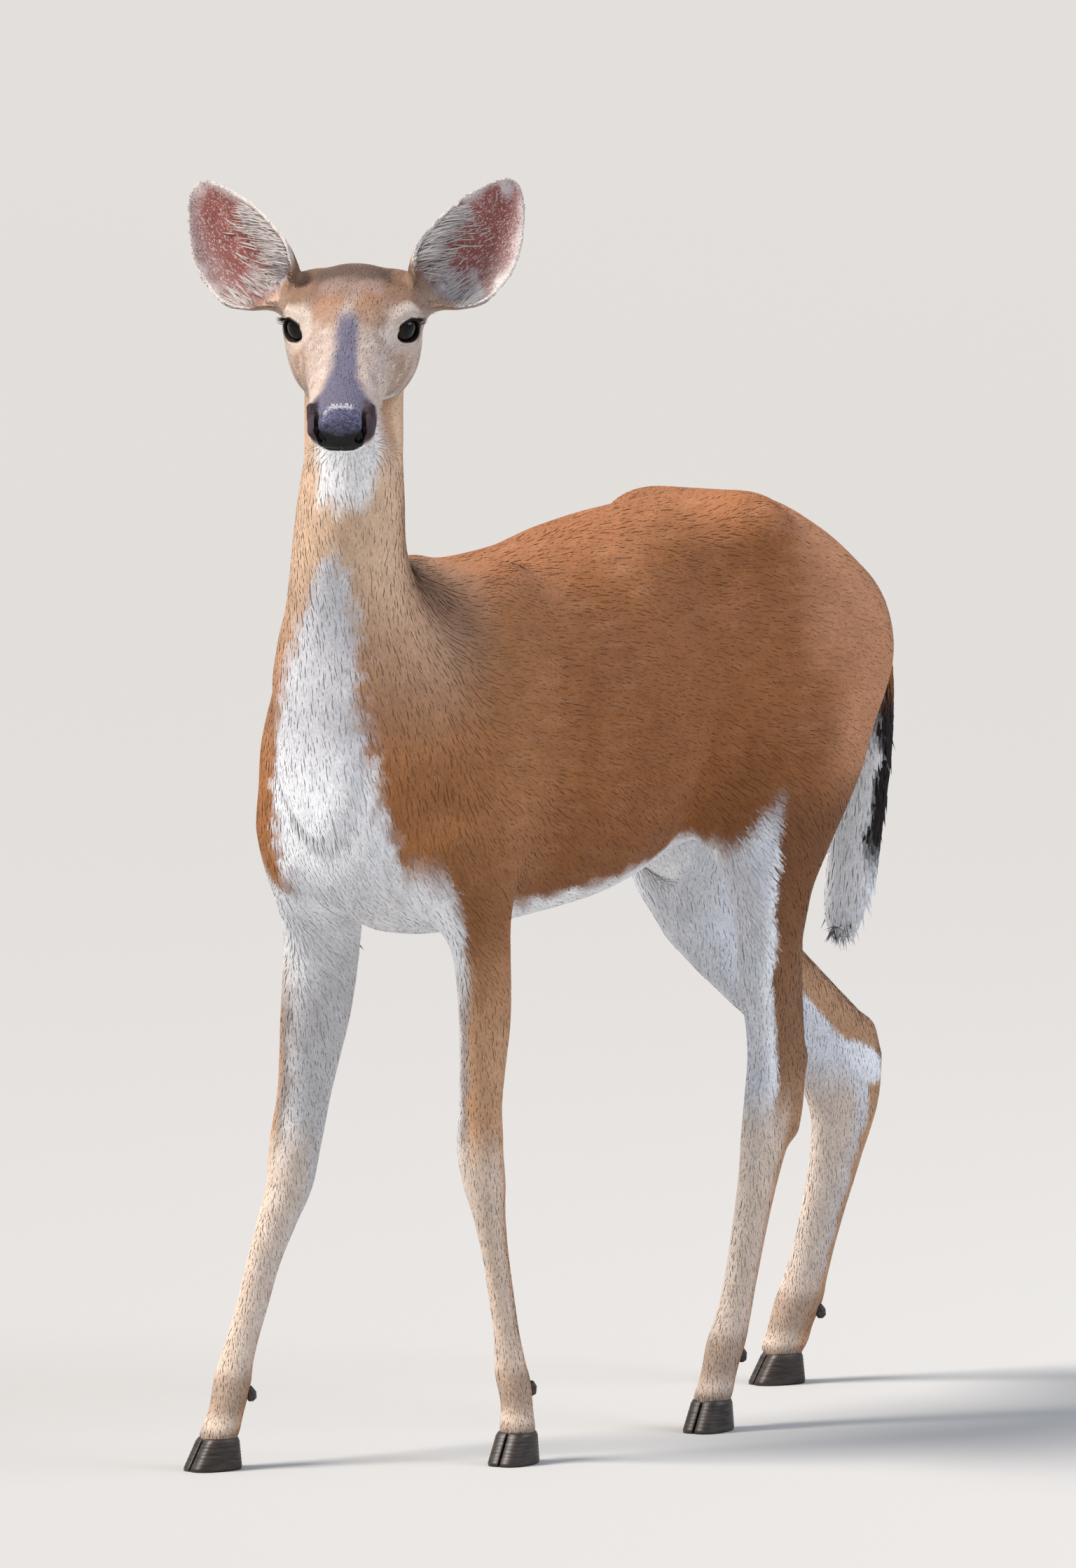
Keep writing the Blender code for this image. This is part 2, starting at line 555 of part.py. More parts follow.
def ear_mesh(name, side, look):
    """A closed cupped leaf: its back, its hollow face and the rim between them. Its root is solid."""
    rows, columns = EAR_ROWS, EAR_COLUMNS
    points = []
    for inner in (0, 1):
        for i in range(rows + 1):
            along = i / rows
            solid = EAR_STEM * np.clip(1 - along / EAR_BURIED, 0, 1)
            for j in range(columns + 1):
                inset = EAR_THICK + solid if inner else 0.0
                points.append(ear_point(side, along, 2 * j / columns - 1, inset))
    wide = columns + 1
    layer = (rows + 1) * wide
    faces = []
    for i in range(rows):
        for j in range(columns):
            a = i * wide + j
            faces.append((a, a + 1, a + wide + 1, a + wide))
            faces.append((layer + a, layer + a + wide, layer + a + wide + 1, layer + a + 1))
    loop = list(range(wide)) + [i * wide + columns for i in range(1, rows + 1)]
    loop += [rows * wide + j for j in range(columns - 1, -1, -1)] + [i * wide for i in range(rows - 1, 0, -1)]
    for a, b in zip(loop, loop[1:] + loop[:1]):
        faces.append((a, layer + a, layer + b, b))
    made = add_object(name, points, faces, look)
    face_outward(made)
    return made


def eye(name, side, look):
    centre = np.array(HEAD_AT) + axes(HEAD_YAW, HEAD_PITCH) @ (np.array(EYE_AT) * (1, side, 1))
    return ball(name, centre, [EYE_RADIUS] * 3, EYE_RINGS, look)


def nose_prism(name, grow=0.0):
    """A helper that runs along the face and takes in the nose pad."""
    outline = [(half + grow, up) for half, up in NOSE_OUTLINE]
    ring = outline + [(-half, up) for half, up in reversed(outline)]
    points = []
    for ahead in (NOSE_BACK - grow, NOSE_FRONT):
        for half, up in ring:
            shift = grow if up == NOSE_OUTLINE[0][1] else -grow if up == NOSE_OUTLINE[-1][1] else 0.0
            points.append(np.array(HEAD_AT) + axes(HEAD_YAW, HEAD_PITCH) @ np.array((ahead, half, up + shift)))
    count = len(ring)
    faces = [tuple(range(count)), tuple(range(2 * count - 1, count - 1, -1))]
    faces += [(j, (j + 1) % count, (j + 1) % count + count, j + count) for j in range(count)]
    made = add_object(name, points, faces, None)
    face_outward(made)
    return helper(made)


def claw(name, leg, side, look):
    """One half of a hoof: level rings from the flat sole up to the flat top, straight inside and bowed outside."""
    x, y = (float(v) for v in LINE_AT[leg](HOOF_TOP))
    ahead, left = axes(LEGS[leg]["turn"])[:, :2].T
    points = []
    for height in HOOF_LEVELS:
        up = height / HOOF_TOP
        heel, toe, half = (low + (high - low) * up for low, high in (HOOF_HEEL, HOOF_TOE, HOOF_HALF))
        bow = [np.sin(np.pi * k / HOOF_STEPS) ** 0.6 for k in range(HOOF_STEPS + 1)]
        along = [heel + (toe - heel) * (1 - np.cos(np.pi * k / HOOF_STEPS)) / 2 for k in range(HOOF_STEPS + 1)]
        outer = [(along[k], HOOF_CLEFT + (half - HOOF_CLEFT) * bow[k]) for k in range(HOOF_STEPS + 1)]
        inner = [(along[k], HOOF_CLEFT * (1 - 0.45 * bow[k])) for k in range(HOOF_STEPS - 1, 0, -1)]
        for far, out in outer + inner:
            spot = np.array((x, y, height)) + ahead * far + left * side * out
            points.append(spot)
    ring = 2 * HOOF_STEPS
    faces = [tuple(range(ring)), tuple(range(len(points) - 1, len(points) - ring - 1, -1))]
    for k in range(len(HOOF_LEVELS) - 1):
        for j in range(ring):
            a, b = k * ring + j, k * ring + (j + 1) % ring
            faces.append((a, b, b + ring, a + ring))
    made = add_object(name, points, faces, look)
    face_outward(made)
    return made


def dewclaw(name, leg, side, look):
    x, y = (float(v) for v in LINE_AT[leg](DEWCLAW_HEIGHT))
    ahead, left = axes(LEGS[leg]["turn"])[:, :2].T
    depth = float(GIRTH_AT[leg](DEWCLAW_HEIGHT)[0]) * LEGS[leg]["stout"]
    spot = np.array((x, y, DEWCLAW_HEIGHT)) - ahead * (depth - DEWCLAW_SUNK) + left * side * DEWCLAW_ASIDE
    made = ball(name, spot, DEWCLAW_RADII, DEWCLAW_RINGS, look)
    made.rotation_euler = (0, np.radians(DEWCLAW_LEAN), np.radians(LEGS[leg]["turn"]))
    return made


def build():
    coat = material("coat_red_brown", (0.38, 0.16, 0.065), 0.85)
    tan = material("coat_tan", (0.50, 0.30, 0.16), 0.85)
    white = material("coat_white", (0.75, 0.70, 0.66), 0.85)
    ear_look = material("ear_hair", (0.55, 0.36, 0.29), 0.85)
    horn = material("hoof_horn", (0.02, 0.018, 0.016), 0.45)
    wet = material("eye_dark", (0.008, 0.005, 0.004), 0.05)
    leather = material("nose_leather", (0.012, 0.012, 0.015), 0.35)

    # Head, with its hollows for the eyes and ears, and its nose.
    low, high = np.array(HEAD_AT) - (0.17, 0.15, 0.18), np.array(HEAD_AT) + (0.17, 0.17, 0.08)
    head = flesh("head", low, high, "head", tan)
    cut(head, half_space("head_region", HEAD_CUT, HEAD_YAW, HEAD_CUT_PITCH, GAP / 2), "INTERSECT")
    nose = flesh("nose_pad", low, high, "nose", leather)
    cut(nose, nose_prism("nose_region"), "INTERSECT")
    cut(head, nose_prism("nose_seat", GAP), "DIFFERENCE")
    for word, side in SIDES:
        seat(head, eye("eye_" + word, side, wet))
        seat(head, ear_mesh("ear_" + word, side, ear_look))

    # Neck, trunk and tail.
    neck = flesh("neck", (0.25, -0.14, 0.60), (0.60, 0.18, 1.14), "neck", tan)
    cut(neck, half_space("neck_region", NECK_CUT, NECK_CUT_YAW, NECK_CUT_PITCH, GAP / 2), "INTERSECT")
    cut(neck, half_space("above_neck", HEAD_CUT, HEAD_YAW, HEAD_CUT_PITCH, -GAP / 2), "DIFFERENCE")
    trunk = flesh("trunk", (-0.385, -0.18, 0.44), (0.48, 0.18, 0.93), "trunk", coat, tailed_field)
    cut(trunk, half_space("above_trunk", NECK_CUT, NECK_CUT_YAW, NECK_CUT_PITCH, -GAP / 2), "DIFFERENCE")
    cut(trunk, half_space("trunk_region", TAIL_CUT, 0, TAIL_CUT_PITCH, GAP), "INTERSECT")
    tail = flesh("tail", (-0.45, -0.052, 0.445), (-0.335, 0.052, 0.83), "tail", white, tailed_field)
    cut(tail, half_space("ahead_of_tail", TAIL_CUT, 0, TAIL_CUT_PITCH, 0), "DIFFERENCE")

    # Legs: the upper leg, the cannon and the foot, from the top down, then the hooves and dewclaws.
    for leg in LEGS:
        fore, side = leg.startswith("fore"), 1 if leg.endswith("left") else -1
        low, high = leg_bounds(leg)
        wide = sorted((side * (FORE_INNER if fore else HIND_INNER), side * LEG_OUTER))
        knee = KNEE if fore else HOCK
        upper = flesh(leg + "_upper", (*low[:2], 0.21), (*high[:2], 0.72), "upper", coat)
        if fore:
            region = (0.15, wide[0], knee + GAP), (0.60, wide[1], ELBOW)
            cut(upper, span(leg + "_region", *region), "INTERSECT")
            cut(trunk, span(leg + "_seat", *region, GAP), "DIFFERENCE")
        else:
            cut(upper, thigh_box(leg + "_region", side), "INTERSECT")
            cut(upper, span(leg + "_top", (-0.6, -0.3, knee + GAP), (0.2, 0.3, 0.8)), "INTERSECT")
            cut(trunk, thigh_box(leg + "_seat", side, GAP), "DIFFERENCE")
        cannon = flesh(leg + "_cannon", (*low[:2], 0.07), (*high[:2], 0.33), "cannon", tan)
        cut(cannon, span(leg + "_shank", (low[0], wide[0], FETLOCK + GAP), (high[0], wide[1], knee)), "INTERSECT")
        foot = flesh(leg + "_foot", (*low[:2], 0.005), (*high[:2], 0.14), "foot", tan)
        cut(foot, span(leg + "_ankle", (low[0], wide[0], HOOF_TOP), (high[0], wide[1], FETLOCK)), "INTERSECT")
        for word, hand in SIDES:
            claw(f"{leg}_hoof_{word}", leg, hand, horn)
            seat(foot, dewclaw(f"{leg}_dewclaw_{word}", leg, hand, horn))


clear_scene()
build()
deer = bpy.data.objects.new("deer", None)
bpy.context.collection.objects.link(deer)
deer.location = CENTRE
for thing in bpy.data.objects:
    if thing is not deer:
        thing.parent = deer
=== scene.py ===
"""White-tailed deer: a doe, life size and standing still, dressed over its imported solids.

Metres. +X is the way the body heads, +Y its left and +Z up. The script runs from the floor up: the room, the
form of the animal, its skin, nose, eyes and hooves, and then the coat that lies over them, from short face
hair to the tail.
"""

import bmesh
import bpy
import mathutils
import numpy as np
import openvdb
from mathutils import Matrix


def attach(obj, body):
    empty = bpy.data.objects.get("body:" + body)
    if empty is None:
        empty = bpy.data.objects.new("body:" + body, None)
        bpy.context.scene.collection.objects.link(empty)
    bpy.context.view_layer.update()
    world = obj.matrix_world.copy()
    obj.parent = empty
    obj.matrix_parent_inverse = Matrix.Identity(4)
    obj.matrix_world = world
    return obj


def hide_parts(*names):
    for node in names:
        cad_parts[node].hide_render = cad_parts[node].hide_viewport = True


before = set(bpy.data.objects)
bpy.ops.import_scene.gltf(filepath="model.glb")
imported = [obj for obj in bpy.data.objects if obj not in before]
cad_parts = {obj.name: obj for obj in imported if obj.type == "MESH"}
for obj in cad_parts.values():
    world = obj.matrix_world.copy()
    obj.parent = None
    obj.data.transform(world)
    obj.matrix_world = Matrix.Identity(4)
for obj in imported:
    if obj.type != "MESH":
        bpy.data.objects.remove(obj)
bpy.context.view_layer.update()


# Room. A wide pale painted floor under a broad soft light high before the animal's right side, a weak one at
# its left, and a pale even glow from everywhere. The camera stands low and far off, at the animal's left
# front.

def linear(code):
    """Linear red, green and blue of an sRGB hex colour."""
    shade = np.array([int(code[i:i + 2], 16) for i in (1, 3, 5)]) / 255
    return np.where(shade <= 0.04045, shade / 12.92, ((shade + 0.055) / 1.055) ** 2.4)


def add_node(tree, kind, inputs=None, **settings):
    """A node with its settings. Each input is a number, a colour or the socket that feeds it."""
    node = tree.nodes.new(kind)
    for name, value in settings.items():
        setattr(node, name, value)
    for name, value in (inputs or {}).items():
        if isinstance(value, bpy.types.NodeSocket):
            tree.links.new(value, node.inputs[name])
        else:
            node.inputs[name].default_value = value
    return node


def new_material(name, **sockets):
    """A Principled material: its shader, node tree and itself. Sockets are given with _ for a space."""
    made = bpy.data.materials.new(name)
    made.use_nodes = True
    shader = made.node_tree.nodes["Principled BSDF"]
    for socket, value in sockets.items():
        shader.inputs[socket.replace("_", " ")].default_value = value
    return shader, made.node_tree, made


def colour_by(shader, tree, pattern, low, high, marked=True):
    """Colours a shader by a pattern between two of its values, and by the markings unless told not to."""
    tones = add_node(tree, "ShaderNodeValToRGB", {"Fac": pattern})
    for element, (value, tone) in zip(tones.color_ramp.elements, (low, high)):
        element.position, element.color = value, (*tone, 1)
    colour = tones.outputs["Color"]
    if marked:
        marks = add_node(tree, "ShaderNodeAttribute", attribute_name="markings").outputs["Color"]
        colour = add_node(tree, "ShaderNodeMix", {"Factor": 1.0, 6: marks, 7: colour},
                          data_type="RGBA", blend_type="MULTIPLY").outputs[2]
    tree.links.new(colour, shader.inputs["Base Color"])


def new_mesh(name, points, faces, material):
    """A smooth object from arrays of points and of faces, all with the same number of corners."""
    mesh = bpy.data.meshes.new(name)
    faces = np.ascontiguousarray(faces, np.int32)
    mesh.vertices.add(len(points))
    mesh.vertices.foreach_set("co", np.ascontiguousarray(points, np.float32).ravel())
    mesh.loops.add(faces.size)
    mesh.loops.foreach_set("vertex_index", faces.ravel())
    mesh.polygons.add(len(faces))
    mesh.polygons.foreach_set("loop_start", np.arange(0, faces.size, faces.shape[1], dtype=np.int32))
    mesh.update(calc_edges=True)
    mesh.materials.append(material)
    mesh.shade_smooth()
    made = bpy.data.objects.new(name, mesh)
    bpy.context.collection.objects.link(made)
    return made


def ringed_faces(rings, spokes, caps):
    """Triangles over rings of points: a band from each ring to the next, a fan from one more point inside the
    first ring and, with two caps, a fan from a last point inside the last ring."""
    i, j = np.arange(rings - 1)[:, None] * spokes, np.arange(spokes)[None]
    after = (j + 1) % spokes
    quads = np.stack([i + j, i + spokes + j, i + spokes + after, i + after], -1).reshape(-1, 4)
    j, after, last = j[0], after[0], (rings - 1) * spokes
    first_fan = np.stack([np.full(spokes, rings * spokes), j, after], 1)
    last_fan = np.stack([np.full(spokes, rings * spokes + 1), last + after, last + j], 1)
    return np.concatenate([quads[:, (0, 1, 2)], quads[:, (0, 2, 3)], first_fan, last_fan][:2 + caps])


FLOOR_RADIUS, FLOOR_RINGS, FLOOR_SPOKES = 70.0, 24, 96


def floor_disc():
    """A level disc: rings that widen outward, round one point in the middle."""
    reach = FLOOR_RADIUS * (np.arange(1, FLOOR_RINGS + 1) / FLOOR_RINGS) ** 2.5
    turn = np.linspace(0, 2 * np.pi, FLOOR_SPOKES, endpoint=False)
    rim = np.stack([np.cos(turn), np.sin(turn), 0 * turn], 1)
    points = np.concatenate([(reach[:, None, None] * rim[None]).reshape(-1, 3), np.zeros((1, 3))])
    return points, ringed_faces(FLOOR_RINGS, FLOOR_SPOKES, 1)


paint_shader, paint_tree, paint = new_material("matt_pale_paint", Roughness=0.9)
speckle = add_node(paint_tree, "ShaderNodeTexNoise", {"Scale": 3.0, "Detail": 3.0})
colour_by(paint_shader, paint_tree, speckle.outputs["Fac"], (0.0, linear("#b3b2b0")),
          (1.0, linear("#bcbbb9")), False)
floor = new_mesh("floor", *floor_disc(), paint)


def way_to(azimuth, rise):
    """The unit vector this way up from level. Azimuth is from +X towards +Y, in degrees."""
    azimuth, rise = np.radians((azimuth, rise))
    return np.array((np.cos(azimuth) * np.cos(rise), np.sin(azimuth) * np.cos(rise), np.sin(rise)))


def aim(thing, place, target):
    """Puts a camera or light at a place, looking along its own -Z to the target with its Y up."""
    back = unit(np.array(place) - np.array(target))
    right = unit(np.cross((0, 0, 1), back))
    turn = np.eye(4)
    turn[:3, :3] = np.stack([right, np.cross(back, right), back], 1)
    turn[:3, 3] = place
    thing.matrix_world = mathutils.Matrix(turn)


def unit(v):
    """The unit vector along another."""
    return v / np.linalg.norm(v)


CAMERA_AIM, CAMERA_WAY = np.array((-0.0835, -0.1229, 0.6178)), (40, 5)
CAMERA_AWAY, SEEN_HIGH = 15.0, 1.5122     # metres to the animal, and the height that fills the picture there
camera = bpy.data.objects.new("camera", bpy.data.cameras.new("camera"))
bpy.context.collection.objects.link(camera)
camera.data.sensor_width = 36.0
camera.data.lens = 36.0 * CAMERA_AWAY / SEEN_HIGH
camera.data.clip_end = 200.0
bpy.context.scene.camera = camera
aim(camera, CAMERA_AIM + way_to(*CAMERA_WAY) * CAMERA_AWAY, CAMERA_AIM)
bpy.context.scene.view_settings.view_transform = "Standard"
world = bpy.data.worlds.new("pale_room")
world.use_nodes = True
world.node_tree.nodes["Background"].inputs["Color"].default_value = (*linear("#e3eaf6"), 1)
world.node_tree.nodes["Background"].inputs["Strength"].default_value = 0.60
bpy.context.scene.world = world
LIT_MIDDLE = np.array((0, 0, 0.6))


def add_light(name, kind, place, power, tint, **breadth):
    """A light turned to the middle of the animal. Breadth is the size of a panel or the angle of a sun."""
    lamp = bpy.data.lights.new(name, kind)
    lamp.energy, lamp.color = power, linear(tint)
    for setting, value in breadth.items():
        setattr(lamp, setting, value)
    made = bpy.data.objects.new(name, lamp)
    bpy.context.collection.objects.link(made)
    aim(made, place, LIT_MIDDLE)


add_light("sky_panel", "SUN", 6.0 * way_to(-32, 54), 4.6, "#fff7ee", angle=np.radians(20))
add_light("fill_light", "AREA", 4.5 * way_to(122, 34) + LIT_MIDDLE, 90, "#eaf2ff", size=2.6)


# Form. The animal's outer shape, to the tips of its coat, is one field that is negative inside: lofts of
# rounded sections for the trunk, neck, skull, legs and tail, and ellipsoids for muscles and bones, blended
# together. Places are in the animal's own frame, which CENTRE moves over the origin.

CENTRE = np.array((-0.0912, -0.0296, 0.0))
SIDES = (("left", 1), ("right", -1))
HEAD_AT = np.array((0.5287, 0.116, 1.108))      # between the eyes, on the line of the face
HEAD_YAW, HEAD_PITCH = 36, -32                  # degrees: the face is turned to the left and down
EYE_AT, EYE_LOOKS, EYE_RADIUS = np.array((-0.006, 0.0430, -0.0255)), np.array((0.63, 0.77, 0.12)), 0.0170
LIDS_HALF_LONG, LIDS_HALF_HIGH, LIDS_DEEP = 0.0175, 0.0125, 0.0110
LIDS_TILT = 0.10                                # how far the corner at the nose lies below the other one
HOOF_TOP = 0.031

# Sections of the trunk from rump to breast: x, top, bottom, half width, height of the widest place, and how
# square it is above and below.
TRUNK = (
    (-0.372, 0.770, 0.712, 0.012, 0.740, 2.0, 2.0),
    (-0.364, 0.793, 0.686, 0.034, 0.740, 2.0, 2.0),
    (-0.343, 0.816, 0.672, 0.063, 0.742, 2.0, 2.0),
    (-0.308, 0.839, 0.656, 0.090, 0.740, 1.9, 2.0),
    (-0.260, 0.868, 0.625, 0.108, 0.737, 1.9, 1.9),
    (-0.200, 0.891, 0.594, 0.116, 0.737, 2.0, 1.8),
    (-0.125, 0.900, 0.572, 0.110, 0.745, 2.2, 1.7),
    (-0.050, 0.896, 0.548, 0.108, 0.735, 2.1, 1.7),
    (0.020, 0.890, 0.528, 0.118, 0.710, 2.0, 1.9),
    (0.090, 0.879, 0.516, 0.127, 0.690, 2.0, 2.1),
    (0.160, 0.863, 0.508, 0.127, 0.680, 2.0, 2.1),
    (0.230, 0.856, 0.502, 0.118, 0.680, 1.9, 2.1),
    (0.290, 0.851, 0.500, 0.104, 0.680, 1.9, 2.1),
    (0.340, 0.842, 0.505, 0.094, 0.675, 2.0, 2.1),
    (0.385, 0.805, 0.525, 0.082, 0.665, 2.0, 2.0),
    (0.420, 0.750, 0.560, 0.062, 0.655, 2.0, 2.0),
    (0.438, 0.700, 0.600, 0.035, 0.650, 2.0, 2.0),
)
RUMP_END, BREAST_END = -0.375, 0.442

# Level sections of the neck, going up: z, x, y, half depth, half width, and the way it faces in degrees.
NECK = (
    (0.600, 0.385, 0.000, 0.030, 0.040, 0),
    (0.640, 0.370, 0.000, 0.070, 0.070, 0),
    (0.690, 0.362, 0.000, 0.095, 0.088, 2),
    (0.740, 0.366, 0.001, 0.100, 0.088, 6),
    (0.780, 0.378, 0.003, 0.092, 0.078, 12),
    (0.820, 0.398, 0.011, 0.080, 0.063, 18),
    (0.870, 0.424, 0.025, 0.070, 0.053, 26),
    (0.920, 0.440, 0.041, 0.062, 0.050, 32),
    (0.970, 0.450, 0.053, 0.057, 0.046, 36),
    (1.020, 0.460, 0.062, 0.056, 0.046, 36),
    (1.060, 0.465, 0.068, 0.056, 0.048, 36),
    (1.095, 0.467, 0.070, 0.048, 0.048, 36),
    (1.120, 0.465, 0.069, 0.030, 0.035, 36),
)

# Sections of the head from the back of the skull to the nose, in the head's frame, columns as in TRUNK.
SKULL = (
    (-0.100, -0.020, -0.060, 0.0180, -0.040, 2.0, 2.0),
    (-0.090, -0.013, -0.078, 0.0360, -0.040, 2.0, 2.0),
    (-0.070, 0.000, -0.092, 0.0480, -0.040, 2.2, 2.0),
    (-0.040, 0.007, -0.099, 0.0540, -0.038, 2.4, 2.0),
    (-0.015, 0.009, -0.098, 0.0545, -0.037, 2.4, 2.0),
    (0.010, 0.008, -0.092, 0.0485, -0.041, 2.0, 2.0),
    (0.030, 0.003, -0.085, 0.0435, -0.044, 1.8, 2.1),
    (0.050, -0.001, -0.078, 0.0395, -0.043, 1.9, 2.2),
    (0.075, -0.004, -0.071, 0.0350, -0.040, 2.1, 2.2),
    (0.102, -0.008, -0.067, 0.0322, -0.039, 2.2, 2.3),
    (0.124, -0.012, -0.065, 0.0315, -0.039, 2.3, 2.3),
    (0.141, -0.017, -0.062, 0.0295, -0.040, 2.3, 2.3),
    (0.150, -0.023, -0.058, 0.0245, -0.040, 2.2, 2.2),
    (0.155, -0.031, -0.051, 0.0120, -0.042, 2.0, 2.0),
)

# Level sections of a leg square to its own line: z, half depth, half width.
FORE_GIRTH = (
    (-0.020, 0.0185, 0.0172), (0.031, 0.0182, 0.0170), (0.055, 0.0165, 0.0152),
    (0.080, 0.0182, 0.0160), (0.100, 0.0165, 0.0136), (0.130, 0.0155, 0.0110), (0.193, 0.0170, 0.0108),
    (0.231, 0.0195, 0.0132), (0.250, 0.0212, 0.0162), (0.269, 0.0235, 0.0195), (0.307, 0.0255, 0.0215),
    (0.344, 0.0275, 0.0185), (0.385, 0.0330, 0.0185), (0.420, 0.0380, 0.0195), (0.500, 0.0425, 0.0230),
    (0.550, 0.0500, 0.0290), (0.600, 0.0600, 0.0330),
)
HIND_GIRTH = (
    (-0.020, 0.0185, 0.0172), (0.031, 0.0182, 0.0170), (0.055, 0.0175, 0.0155), (0.082, 0.0195, 0.0165),
    (0.105, 0.0180, 0.0150), (0.135, 0.0175, 0.0138), (0.175, 0.0190, 0.0140), (0.215, 0.0215, 0.0148),
    (0.250, 0.0255, 0.0162), (0.280, 0.0310, 0.0190), (0.310, 0.0350, 0.0205), (0.335, 0.0350, 0.0200),
    (0.370, 0.0325, 0.0190), (0.418, 0.0360, 0.0212), (0.461, 0.0400, 0.0240), (0.500, 0.0475, 0.0285),
    (0.543, 0.0570, 0.0350), (0.600, 0.0700, 0.0430), (0.640, 0.0800, 0.0480),
)

# The line of each leg from below the hoof to the top: z, x, y. Turn is the way the leg faces, in degrees, and
# girth scales its depth.
LEGS = {
    "foreleg_left": dict(girth=FORE_GIRTH, stout=0.86, turn=9, top=0.60, line=(
        (-0.020, 0.270, 0.101), (0.031, 0.266, 0.098), (0.060, 0.263, 0.094), (0.095, 0.267, 0.090),
        (0.193, 0.285, 0.088), (0.231, 0.294, 0.088), (0.270, 0.303, 0.088), (0.307, 0.309, 0.088),
        (0.344, 0.308, 0.088), (0.420, 0.303, 0.089), (0.494, 0.309, 0.090), (0.600, 0.325, 0.084))),
    "foreleg_right": dict(girth=FORE_GIRTH, stout=1.0, turn=-12, top=0.60, line=(
        (-0.020, 0.492, -0.092), (0.030, 0.480, -0.091), (0.065, 0.466, -0.090), (0.091, 0.460, -0.089),
        (0.156, 0.433, -0.088), (0.192, 0.418, -0.088), (0.227, 0.399, -0.088), (0.263, 0.380, -0.088),
        (0.300, 0.372, -0.088), (0.355, 0.357, -0.088), (0.429, 0.341, -0.088), (0.502, 0.330, -0.090),
        (0.600, 0.333, -0.084))),
    "hindleg_left": dict(girth=HIND_GIRTH, stout=1.05, turn=7, top=0.66, line=(
        (-0.020, -0.022, 0.088), (0.015, -0.034, 0.086), (0.055, -0.052, 0.084), (0.082, -0.065, 0.082),
        (0.114, -0.081, 0.080), (0.194, -0.107, 0.078), (0.235, -0.120, 0.077), (0.275, -0.134, 0.075),
        (0.310, -0.143, 0.075), (0.340, -0.145, 0.076), (0.380, -0.139, 0.079), (0.420, -0.131, 0.082),
        (0.461, -0.126, 0.086), (0.502, -0.126, 0.088), (0.560, -0.140, 0.086), (0.640, -0.165, 0.080))),
    "hindleg_right": dict(girth=HIND_GIRTH, stout=1.27, turn=-18, top=0.66, line=(
        (-0.020, -0.352, -0.098), (0.015, -0.362, -0.094), (0.055, -0.375, -0.090), (0.082, -0.384, -0.086),
        (0.136, -0.394, -0.075), (0.177, -0.400, -0.067), (0.218, -0.407, -0.060), (0.268, -0.412, -0.053),
        (0.307, -0.404, -0.052), (0.361, -0.358, -0.058), (0.398, -0.320, -0.068), (0.431, -0.288, -0.079),
        (0.470, -0.255, -0.090), (0.520, -0.228, -0.094), (0.580, -0.213, -0.088), (0.640, -0.205, -0.080))),
}

# The tail, hanging: z, x, y, half depth, half width.
TAIL = (
    (0.452, -0.366, -0.021, 0.0060, 0.0130),
    (0.470, -0.371, -0.020, 0.0110, 0.0230),
    (0.510, -0.380, -0.017, 0.0140, 0.0300),
    (0.560, -0.384, -0.013, 0.0150, 0.0300),
    (0.620, -0.391, -0.007, 0.0150, 0.0280),
    (0.680, -0.394, -0.003, 0.0150, 0.0250),
    (0.730, -0.390, 0.000, 0.0150, 0.0210),
    (0.770, -0.380, 0.000, 0.0155, 0.0185),
    (0.800, -0.362, 0.000, 0.0120, 0.0160),
)
TAIL_TIP, TAIL_TOP = 0.457, 0.795
TAIL_ROOT = (0.735, 0.775)     # the tail grows out of the rump between these heights, and hangs free below

# Muscles and bones that swell the body: the side they are on, their middle, radii, pitch and fillet.
MASSES = (
    ("middle", (0.325, 0.0, 0.765), (0.105, 0.070, 0.088), 0, 0.030),      # where the neck leaves the withers
    ("left", (0.305, 0.074, 0.655), (0.078, 0.047, 0.135), 18, 0.050),       # upper arms
    ("right", (0.335, 0.074, 0.655), (0.078, 0.047, 0.135), 18, 0.050),
    ("both", (0.262, 0.060, 0.755), (0.060, 0.032, 0.085), 12, 0.060),       # shoulder blades
    ("left", (-0.170, 0.070, 0.672), (0.094, 0.050, 0.150), 38, 0.050),      # thighs
    ("right", (-0.205, 0.068, 0.662), (0.104, 0.050, 0.152), 26, 0.050),
    ("both", (-0.118, 0.066, 0.862), (0.040, 0.028, 0.030), 0, 0.050),       # points of the hip
)

# The same for the left half of the head, in its frame: the brow, the jaw and the bulb that the ear grows
# from.
HEAD_MASSES = (
    ((-0.014, 0.045, -0.023), (0.023, 0.0180, 0.020), 0.016),
    ((-0.022, 0.034, -0.062), (0.050, 0.0245, 0.036), 0.030),
    ((-0.056, 0.051, -0.031), (0.024, 0.0195, 0.022), 0.016),
)
# The stalk behind the ear, from the poll outward: places and radii.
EAR_STALK = (((-0.068, 0.038, -0.030), 0.020), ((-0.083, 0.062, -0.038), 0.013),
             ((-0.0915, 0.086, -0.021), 0.005))

# The heel bone and its tendon: height, how far behind the line of the leg at a height near it, and radius.
HEEL, SHANK = (0.349, 0.335, 0.032, 0.0125), (0.285, 0.335, 0.018, 0.0140)
CALF = (0.455, 0.455, 0.031, 0.0105)

